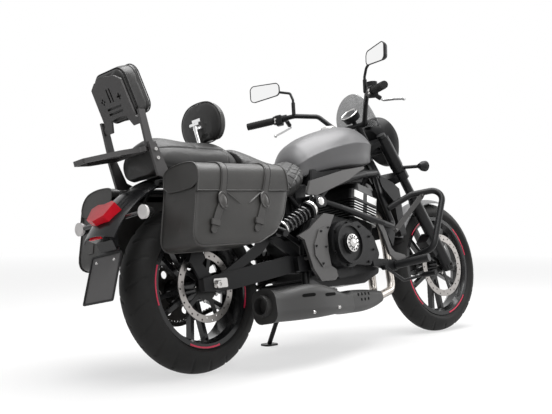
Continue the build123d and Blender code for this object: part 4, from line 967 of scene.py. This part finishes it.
brace = Heap()
for side in (-1, 1):
    low, high = Vector((1108, side * 160, 474)), Vector((1262, side * 236, 628))
    way = (high - low).normalized()
    out = Vector((0, side, 0))
    across = way.cross(out).normalized()
    rings = []
    for distance, half in ((0, 9), (14, 12), ((high - low).length - 14, 12), ((high - low).length, 9)):
        rings.append([low + way * distance + across * u + out * v
                      for u, v in ((-half, -3), (half, -3), (half, 3), (-half, 3))])
    brace.loft(rings)
    for end in (low + way * 10, high - way * 8):
        seat = plane_at(end + out * 3, out, (1, 0, 0))
        brace.lathe([(0.4, 0), (8, 0), (8, 4), (6, 5.5), (0.4, 5.5)], seat, 6)
brace.piece("guard_braces", cover_paint, "cover_grey", smooth=False)


# Wheels and brakes
# Cast wheels in gloss black with a red line broken into four on each rim, drilled steel discs on dark
# carriers, and tubeless tyres with slanting grooves.

wheel_paint = paint("wheel_paint", (0.006, 0.006, 0.0065), 0.24, coat_weight=0.35, coat_roughness=0.1,
                    specular_ior_level=0.3)
dress(wheel_paint, "rear_wheel", "front_wheel")
rubber = Finish("tyre_rubber", specular_ior_level=0.2)
rubber.set(base_color=rubber.between(rubber.cloud(9.0, 5.0), (0.007, 0.007, 0.007), (0.015, 0.0145, 0.014)),
           roughness=rubber.between(rubber.cloud(25.0), 0.55, 0.75),
           normal=rubber.relief(rubber.cloud(700.0), 0.15))
steel = varied("axle_steel", (0.52, 0.51, 0.5), 60.0, 0.26, 0.42, metallic=1.0)
dress(steel, "rear_axle", "front_axle")
alloy = varied("lever_alloy", (0.5, 0.5, 0.5), 80.0, 0.3, 0.42, metallic=1.0)
dress(alloy, "levers")
stripe_red = Finish("stripe_red")
stripe_red.set(base_color=stripe_red.between(stripe_red.cloud(60.0), (0.5, 0.012, 0.05), (0.62, 0.02, 0.07)),
               roughness=stripe_red.between(stripe_red.cloud(90.0), 0.3, 0.4))


def disc_finish(name, centre, rim):
    """Ground steel on the braking band, and black paint on the carrier inside it."""
    finish = Finish(name)
    away = finish.place().distance(centre)
    band = away > rim
    brushed = finish.node("ShaderNodeTexNoise", {"noise_dimensions": "1D"}, {"W": away * 900.0, "Scale": 1.0})
    finish.set(base_color=finish.between(band, (0.012, 0.012, 0.012), (0.4, 0.38, 0.365)),
               metallic=finish.between(band, 0.3, 1.0),
               roughness=finish.between(brushed, 0.24, 0.4))
    return finish


def tyre(name, node, body, centre_x, width, bead_radius, bead_half):
    """A tyre turned about its axle, with slanting grooves across its crown."""
    half = width / 2
    outer = TYRE_RADIUS / MM
    wall = outer - 0.42 * width
    drop = outer - wall
    crown_radius = (half ** 2 + drop ** 2) / (2 * drop)
    span = atan2(half, crown_radius - drop)
    profile = []
    for step in range(37):
        angle = span * (step - 18) / 18
        profile.append((outer - crown_radius * (1 - cos(angle)), crown_radius * sin(angle)))
    bulge = (wall + bead_radius + 12) / 2
    profile += [(bulge + 4, half - 1), (bulge - 3, half - 7), (bead_radius + 13, bead_half + 3),
                (bead_radius + 6, bead_half - 1), (bead_radius + 2, bead_half - 1),
                (bead_radius + 2, 1 - bead_half), (bead_radius + 6, 1 - bead_half),
                (bead_radius + 13, -bead_half - 3), (bulge - 3, 7 - half), (bulge + 4, 1 - half)]
    steps, pitches = 660, 22
    pitch = 2 * pi * outer / pitches
    shape = Heap()
    rings = []
    for step in range(steps):
        turn = 2 * pi * step / steps
        along = (step / steps * pitches) % 1
        ring = []
        for radius, y in profile:
            share = abs(y) / half
            if radius > wall + 6 and 0.1 < share < 0.86:
                start = (0.12 + 0.62 * share + (0.5 if y < 0 else 0)) % 1
                near = min(abs(along - start), 1 - abs(along - start)) * pitch * 0.72
                radius -= 3.6 * min(1.0, max(0.0, 1.9 - near / 2.6))
            ring.append((centre_x + radius * sin(turn), y, outer + radius * cos(turn)))
        rings.append(ring)
    shape.loft(rings, looped=True)
    made = shape.piece(name, rubber, "tyre", body)
    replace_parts(made, node)


def rim_stripes(name, body, centre_x, radius, side_y, first):
    """Four red lines round each side of a rim."""
    shape = Heap()
    for side in (-1, 1):
        for quarter in range(4):
            rings = []
            for step in range(13):
                angle = radians(first + 90 * quarter + 38 * step / 12)
                rings.append([(centre_x + reach * cos(angle), side * y, TYRE_RADIUS / MM + reach * sin(angle))
                              for reach, y in ((radius - 3, side_y), (radius - 3, side_y + 0.8),
                                               (radius + 3, side_y + 0.8), (radius + 3, side_y))])
            shape.loft(rings)
    shape.piece(name, stripe_red, "wheel_black", body)


def disc_bolts(name, body, centre_x, face_y, radius):
    """Five screws that hold a disc's carrier to the hub."""
    places = [Vector((centre_x + radius * cos(angle), face_y, TYRE_RADIUS / MM + radius * sin(angle)))
              for angle in [radians(36 + 72 * turn) for turn in range(5)]]
    screws(name, places, [RIGHT] * 5, 6.2, 5, bright_steel, "disc_steel", body)


FRONT_X, HUB_Z = 1575, 312
for word, x, radius, y, bolt_circle in (("rear", 0, 133.0, -80.4, 56), ("front", FRONT_X, 150.0, -67.2, 40)):
    body = word + "_wheel_body"
    centre = PLACES.get(body, CHASSIS) @ Vector((x, y, HUB_Z))
    dress(disc_finish(word + "_disc_steel", centre, (radius * 0.8 - 1.5) * MM), word + "_disc")
    disc_bolts(word + "_disc_bolts", body, x, y - 2.7, bolt_circle)
tyre("rear_tread", "rear_tyre", "rear_wheel_body", 0, 160, 216, 57)
tyre("front_tread", "front_tyre", "front_wheel_body", FRONT_X, 120, 229, 39)
rim_stripes("rear_stripes", "rear_wheel_body", 0, 221, 63.2, 155)
rim_stripes("front_stripes", "front_wheel_body", FRONT_X, 234, 45.2, 100)


# Chain
# A steel roller chain runs round both sprockets on the left. Its side plates stand proud of the rollers,
# laid end to end at the chain's pitch.

def chain_plates():
    """Nodes that lay pairs of side plates end to end along a path."""
    made, (path, pitch, reach, thick, width, across, coat) = node_group("chain_plates", {
        "Path": "Geometry", "Pitch": "Float", "Plate Radius": "Float", "Plate Thickness": "Float",
        "Chain Width": "Float", "Across": "Vector", "Finish": "Material"})
    line = made.node("GeometryNodeMeshToCurve", {}, {"Mesh": path})
    spaced = made.node("GeometryNodeResampleCurve", {"mode": "LENGTH"}, {"Curve": line, "Length": pitch})
    ends = []
    for end in (-0.5, 0.5):
        disc = made.node("GeometryNodeMeshCylinder", {}, {"Vertices": 12, "Radius": reach, "Depth": thick})
        shift = made.node("ShaderNodeCombineXYZ", {}, {"X": pitch * end})
        ends.append(made.node("GeometryNodeTransform", {}, {"Geometry": disc, "Translation": shift}))
    size = made.node("ShaderNodeCombineXYZ", {}, {"X": pitch, "Y": reach * 1.3, "Z": thick * 0.98})
    ends.append(made.node("GeometryNodeMeshCube", {}, {"Size": size}))
    plates = []
    for side in (-0.5, 0.5):
        for end in ends:
            shift = made.node("ShaderNodeCombineXYZ", {}, {"Z": width * side})
            plates.append(made.node("GeometryNodeTransform", {}, {"Geometry": end, "Translation": shift}))
    join = made.node("GeometryNodeJoinGeometry")
    for plate in plates:
        made.tree.links.new(plate.socket, join.socket.node.inputs[0])
    tangent = made.node("GeometryNodeInputTangent")
    lie = made.node("FunctionNodeAlignRotationToVector", {"axis": "X"}, {"Vector": tangent})
    stand = made.node("FunctionNodeAlignRotationToVector", {"axis": "Z", "pivot_axis": "X"},
                      {"Rotation": lie, "Vector": across})
    links = made.node("GeometryNodeInstanceOnPoints", {}, {
        "Points": spaced, "Instance": join, "Rotation": stand})
    return finished(made, links, coat)


def chain_path(rear, front, rear_radius, front_radius, y):
    """Points round two sprockets and along the straight runs between them."""
    run = front - rear
    slope = atan2(run.y, run.x)
    spread = acos((rear_radius - front_radius) / run.length)
    points = []
    for step in range(41):
        angle = slope + spread + (2 * pi - 2 * spread) * step / 40
        points.append((rear.x + rear_radius * cos(angle), y, rear.y + rear_radius * sin(angle)))
    for step in range(25):
        angle = slope - spread + 2 * spread * step / 24
        points.append((front.x + front_radius * cos(angle), y, front.y + front_radius * sin(angle)))
    return points


route = [CHASSIS @ Vector(point)
         for point in chain_path(Vector((0, HUB_Z)), Vector((540, 372)), 119.5, 45.5, 97)]
chain_mesh = bpy.data.meshes.new("chain_route")
chain_mesh.from_pydata(route, [(index, (index + 1) % len(route)) for index in range(len(route))], [])
chain = free_piece("chain_links", chain_mesh)
run_nodes(chain, chain_plates(), {
    "Pitch": 0.01588, "Plate Radius": 0.0076, "Plate Thickness": 0.0018, "Chain Width": 0.0182,
    "Across": STANCE.to_3x3() @ Vector((0, 1, 0)), "Finish": chain_steel.material})
fix(chain, chain_steel)


# Suspension
# The damper lies along the right side with its coil outside, under a bright adjusting ring. Its preload
# knob stands out above the side cover, and alloy plates set the rear axle in the arm.

SHOCK_REAR, SHOCK_FRONT = Vector((312, -176, 486)), Vector((604, -176, 607))
shock_run = (SHOCK_FRONT - SHOCK_REAR).normalized()
shock_length = (SHOCK_FRONT - SHOCK_REAR).length
collar = Heap()
for distance, reach in ((shock_length - 84, 38), (shock_length - 76, 36), (36, 37)):
    seat = plane_at(SHOCK_REAR + shock_run * distance, shock_run, (0, -1, 0))
    collar.lathe([(20, -3), (reach, -3), (reach + 0.8, 0), (reach, 3), (20, 3)], seat, 40)
collar.piece("spring_collars", bright_steel, "axle_steel")
knob = Heap()
knob_face = plane_at((570, -196, 604), RIGHT, (1, 0, 0))
knob.lathe([(0.4, -4), (24, -4), (25, 2), (25, 10), (22, 13), (16, 14), (0.4, 14)], knob_face, 40)
knob.piece("preload_knob", black_steel, "spring_black")
knob_cap = Heap()
knob_cap.lathe([(0.4, 13.5), (17, 13.8), (16, 16.2), (9, 17), (0.4, 17)], knob_face, 36)
knob_cap.piece("preload_cap", bright_steel, "axle_steel")
plate = Heap()
for side in (-1, 1):
    rest = plane_at((14, side * 146.3, 316), (0, side, 0), (1, 0, 0))
    corners = round_loop(34, 17, 6, steps=5)
    plate.stack(rest, corners, ((0, 1), (4, 1)))
    nut = rest @ Matrix.Translation((-14, -4, 4))
    plate.lathe([(0.4, 0), (15, 0), (15, 9), (13, 11), (8, 11), (7, 7), (0.4, 7)], nut, 6)
plate.piece("axle_plates", bright_steel, "axle_steel", smooth=False)


# Cooling and exhaust
# Bare steel headers coloured by heat, a pierced heat shield on the collector, and a slotted shield on the
# black muffler. Their holes and slots are near-black strips and discs on the pipes: painted shade.

dress(plastic, "radiator", "hand_controls", "mirrors", "headlamp_shell", "instrument", "front_indicators")
headers = Finish("header_steel", metallic=1.0)
headers.set(base_color=headers.between(headers.cloud(9.0), (0.3, 0.26, 0.22), (0.66, 0.63, 0.6)),
            roughness=headers.between(headers.cloud(50.0), 0.22, 0.4))
dress(headers, "exhaust_headers")
muffler_paint = paint("muffler_paint", (0.017, 0.0165, 0.016), 0.5, peel=0.05)
dress(muffler_paint, "muffler", "collector")
# Near-black and matt: painted shade for the heat shields' holes and slots.
soot = varied("soot", (0.002, 0.002, 0.002), 200.0, 0.8, 0.95, specular_ior_level=0.1)


def surface_of(node):
    """The built piece's surface, to set small things on, in the upright machine's millimetres."""
    mesh = frame["nodes"][node].data
    turn = CHASSIS.inverted()
    return BVHTree.FromPolygons([turn @ vertex.co for vertex in mesh.vertices],
                                [list(face.vertices) for face in mesh.polygons])


def seen_on(surface, x, z):
    """Where a line from the right meets the surface, and the way that the surface faces there."""
    place, way, _, _ = surface.ray_cast(Vector((x, -700, z)), Vector((0, 1, 0)))
    return place, way if way.y < 0 else -way


# The shields' slots and holes, as near-black strips and discs laid on the pipes' skin: painted shade.
shield_openings = Heap()
muffler_skin, collector_skin = surface_of("muffler"), surface_of("collector")
for start, end, z in ((318, 392, 232), (452, 526, 226)):
    rings = []
    for step in range(9):
        x = start + (end - start) * step / 8
        tall = 6.5 if 0 < step < 8 else 3.5
        edge = [seen_on(muffler_skin, x, z + rise) for rise in (-tall, -tall / 2, 0, tall / 2, tall)]
        rings.append([place + way * 0.9 for place, way in edge] + [place - way for place, way in edge[::-1]])
    shield_openings.loft(rings)
for x, z in ((744, 214), (776, 215), (808, 215), (842, 214), (768, 192), (800, 192), (834, 193)):
    place, way = seen_on(collector_skin, x, z)
    shield_openings.lathe([(0.4, -1), (6.5, -1), (6.5, 0.9), (0.4, 0.9)], plane_at(place, way, (1, 0, 0)), 20)
shield_openings.piece("shield_holes", soot, "exhaust_black")
bolts = [seen_on(muffler_skin, x, z) for x, z in ((372, 166), (540, 172))]
screws("muffler_bolts", *zip(*bolts), 7, 6, bright_steel, "axle_steel")


# Tank and mudguards
# The tank is welded sheet under satin grey paint, with a soft crease along each side and a screw cap on
# top. The mudguards are gloss black behind and grey in front.

tank_paint = paint("tank_paint", (0.098, 0.097, 0.099), 0.46, metallic=0.4, coat_weight=0.1,
                   coat_roughness=0.4)
dress(tank_paint, "front_fender")
gloss_black = paint("gloss_black", (0.006, 0.006, 0.0065), 0.26, coat_weight=0.12, coat_roughness=0.08,
                    specular_ior_level=0.25)
dress(gloss_black, "rear_fender")
TANK_STATIONS = [(614.6, 30, 756, 808), (617, 52, 742, 824), (626, 74, 730, 842), (644, 92, 727, 866),
                 (672, 109, 733, 890), (740, 134, 746, 922), (800, 149, 755, 942), (860, 160, 762, 958),
                 (910, 165, 767, 969), (960, 166, 770, 974), (1000, 161, 775, 973), (1040, 148, 781, 963),
                 (1070, 130, 790, 949), (1084, 112, 799, 934), (1091.6, 80, 815, 908)]
SIDE_SHAPE = [(0, 1.0), (0.34, 0.975), (0.62, 0.88), (0.84, 0.72), (0.975, 0.55), (1.0, 0.505),
              (0.985, 0.46), (0.93, 0.3), (0.88, 0.12), (0.8, 0.04), (0.4, 0.0)]


def fuel_tank():
    """The tank's skin, lofted through sections whose half-width, bottom and top are given at each place."""
    rings = []
    spine = curve([Vector((x, low, high)) for x, wide, low, high in TANK_STATIONS], 4)
    widths = curve([Vector((x, wide, 0)) for x, wide, low, high in TANK_STATIONS], 4)
    for (x, low, high), (_, wide, _) in zip(spine, widths):
        half = [(share * wide, low + (high - low) * tall) for share, tall in SIDE_SHAPE]
        outline = half + [(0, low)] + [(-y, z) for y, z in half[:0:-1]]
        rings.append(curve([(x, y, z) for y, z in outline], 4, looped=True))
    shape = Heap()
    shape.loft(rings)
    return shape.piece("tank_shell", tank_paint, "tank_grey")


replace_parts(fuel_tank(), "fuel_tank")
filler = Heap()
filler_seat = plane_at((948, 0, 962), (0.03, 0, 1), (0, -1, 0))
filler.lathe([(0.4, 0), (36, 0), (36, 12), (34, 16), (30, 17.5), (28, 16), (24, 16.5), (21, 19), (0.4, 19.5)],
             filler_seat, 44)
filler.piece("filler_cap", bright_steel, "tank_grey")


# Chrome and grips
# The back pad's post is chromed steel. The grips are black rubber with moulded ribs, pushed over the
# handlebar's ends.

chrome = varied("chrome", (0.78, 0.78, 0.78), 30.0, 0.06, 0.14, metallic=1.0)
dress(chrome, "backrest_post")
grip_rubber = Finish("grip_rubber", specular_ior_level=0.2)
grip_rubber.set(base_color=grip_rubber.between(grip_rubber.cloud(14.0), (0.008, 0.008, 0.008),
                                               (0.015, 0.015, 0.015)),
                roughness=grip_rubber.between(grip_rubber.cloud(60.0), 0.6, 0.75))
dress(grip_rubber, "grips")


def bar_end(side):
    """The handlebar's end on one side, and the way from it towards the middle."""
    end, inner = Vector((864, side * 421, 1071)), Vector((984, side * 226, 1086))
    return end, (inner - end).normalized()


ribs = Heap()
for side in (-1, 1):
    end, way = bar_end(side)
    for rib in range(13):
        seat = plane_at(end + way * (12 + rib * 8.2), way, (0, 0, 1))
        ribs.lathe([(15.5, -2.2), (17.6, -1.4), (17.6, 1.4), (15.5, 2.2)], seat, 28)
ribs.piece("grip_ribs", grip_rubber, "grip_rubber", "steering")


# Switches
# Moulded housings beside the grips, each with a bright thumb button and rocker. They are black plastic,
# clamped round the handlebar.

switches, buttons = Heap(), Heap()
for side in (-1, 1):
    end, way = bar_end(side)
    housing = plane_at(end + way * 152, way, (0, 0, 1))
    loop = round_loop(25, 21, 9, (-4, 0), 6)
    switches.stack(housing, loop, ((-16, 0.86), (-13, 1), (13, 1), (16, 0.86)))
    thumb = plane_at(end + way * 150 + Vector((-20, 0, 0)), (-1, 0, 0.2), (0, 1, 0))
    buttons.lathe([(0.4, 0), (6, 0), (6, 6), (4.5, 7), (0.4, 7)], thumb, 20)
    rocker = thumb @ Matrix.Translation((0, 13, 0))
    buttons.lathe([(0.4, 0), (4.5, 0), (4.5, 5), (3, 6), (0.4, 6)], rocker, 6)
switches.piece("switch_housings", plastic, "control_black", "steering")
buttons.piece("switch_buttons", bright_steel, "lever_alloy", "steering")


# Lamps, glass and plate
# The tail lamp is a ribbed red lens, and so is the reflector. The rear indicators have clear glass on black
# stalks, the meter has a dark dial in a grey ring, and the number plate is blank.

red_lens = Finish("red_lens", roughness=0.22, specular_ior_level=0.12)
ribbed = red_lens.node("ShaderNodeTexWave", {"wave_type": "BANDS"}, {
    "Vector": red_lens.place(), "Scale": 90.0, "Distortion": 0.4})
red_lens.set(base_color=red_lens.between(red_lens.cloud(24.0), (0.4, 0.003, 0.01), (0.6, 0.008, 0.022)),
             normal=red_lens.relief(ribbed, 0.2))
dress(red_lens, "tail_light")
lamp_glass = Finish("lamp_glass")
middle_right, middle_left = CHASSIS @ Vector((-338, -184, 577)), CHASSIS @ Vector((-338, 184, 577))
near = lamp_glass.node("ShaderNodeMath", {"operation": "MINIMUM"}, {
    0: lamp_glass.place().distance(middle_right), 1: lamp_glass.place().distance(middle_left)})
glass = near < 0.0262
behind = lamp_glass.place().along(CHASSIS @ Vector((-322, 0, 577)), STANCE.to_3x3() @ Vector((1, 0, 0)))
glass = glass * (behind < 0.0)
lamp_glass.set(base_color=lamp_glass.between(glass, (0.01, 0.01, 0.01), (0.62, 0.6, 0.59)),
               roughness=lamp_glass.between(lamp_glass.cloud(40.0), 0.1, 0.2))
dress(lamp_glass, "rear_indicators")
clear_lens = Finish("clear_lens", roughness=0.1)
clear_lens.set(base_color=clear_lens.between(clear_lens.cloud(40.0), (0.35, 0.36, 0.37), (0.6, 0.61, 0.62)))
dress(clear_lens, "headlamp_lens")
plate_metal = varied("plate_metal", (0.075, 0.072, 0.072), 20.0, 0.35, 0.5, specular_ior_level=0.3)
dress(plate_metal, "number_plate")
plate_at = plane_at((-361, 0, 462), (-0.935, 0, 0.355), (0, -1, 0))
trim = Heap()
outer_loop = round_loop(86, 90, 8, (0, -92), 6)
inner_loop = round_loop(79, 83, 5, (0, -92), 6)
trim.loft([[plate_at @ Vector((x, y, out)) for x, y in edge]
           for edge, out in ((outer_loop, 2), (outer_loop, 6), (inner_loop, 6), (inner_loop, 2))],
          looped=True)
trim.piece("plate_frame", plastic, "plate_grey")
screws("plate_bolts", [plate_at @ Vector((x, -30, 3.4)) for x in (-50, 50)], [(-0.935, 0, 0.355)] * 2, 6, 4,
       bright_steel, "plate_grey")
reflector = Heap()
reflector_at = plane_at((-403, 0, 524), (-0.99, 0, 0.1), (0, -1, 0))
loop = round_loop(34, 12, 4, steps=5)
reflector.stack(reflector_at, loop, ((-2, 1), (4, 1), (6, 0.92)))
reflector.piece("rear_reflector", red_lens, "red_lens")
mirror_face = varied("mirror_face", (0.9, 0.9, 0.9), 10.0, 0.01, 0.03, metallic=1.0)
dress(mirror_face, "mirror_glass")
smoke = Finish("smoked_screen", base_color=(0.16, 0.16, 0.163), roughness=0.12)
smoke.set(alpha=smoke.between(smoke.cloud(5.0), 0.5, 0.57))
screen_plane = plane_at((FRONT_X - 360, 0, 1000), (0.87, 0, 0.49), (0, 1, 0))
SCREEN_BEND = 172.0
screen = Heap()
rings = []
for step in range(15):
    share = sin(pi / 2 * step / 14)
    half = max(10.0, 124 * (1 - share ** 2.4) ** 0.5)
    turns = [asin(half / SCREEN_BEND) * (2 * column / 24 - 1) for column in range(25)]
    up = 176 * share - 10
    rings.append([screen_plane @ Vector((radius * sin(turn), up, radius * cos(turn) - SCREEN_BEND + 4))
                  for radius, order in ((SCREEN_BEND, 1), (SCREEN_BEND - 3.5, -1))
                  for turn in turns[::order]])
screen.loft(rings)
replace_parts(screen.piece("smoked_screen", smoke, "smoke_screen", "steering"), "fly_screen")
bracket = Heap()
bracket.loft([[(x, y, z) for x, z in ((1213, 1000), (1205, 1016), (1244, 1032), (1258, 1022), (1237, 986))]
              for y in (-20, 20)])
bracket.piece("screen_bracket", plastic, "control_black", "steering")
meter_face = plane_at((1118, 0, 1046), (-0.62, 0, 0.78), (0, -1, 0))
meter = Heap()
meter.lathe([(37, 5.6), (43.4, 5.6), (43.4, 8.5), (41, 10), (38, 8.5), (37, 5.6)], meter_face, 48)
meter.piece("meter_ring", bright_steel, "control_black", "steering")
dial_black = varied("dial_black", (0.01, 0.01, 0.011), 60.0, 0.3, 0.4, coat_weight=0.6, coat_roughness=0.05)
dial = Heap()
dial.lathe([(0.4, 6), (37, 6), (37, 7.4), (0.4, 7.6)], meter_face, 40)
dial.piece("meter_dial", dial_black, "control_black", "steering")
marks = Heap()
for mark in range(25):
    turned = meter_face @ Matrix.Rotation(radians(-30 + 10 * mark), 4, "Z")
    inner = 29 if mark % 4 == 0 else 32
    corners = [(inner, -0.7), (35, -0.7), (35, 0.7), (inner, 0.7)]
    marks.stack(turned, corners, ((7.5, 1), (8.0, 1)))
white_marks = Finish("dial_white")
white_marks.set(base_color=white_marks.between(white_marks.cloud(90.0), (0.6, 0.6, 0.6), (0.75, 0.75, 0.75)),
                roughness=white_marks.between(white_marks.cloud(60.0), 0.5, 0.6))
marks.piece("meter_marks", white_marks, "control_black", "steering", smooth=False)
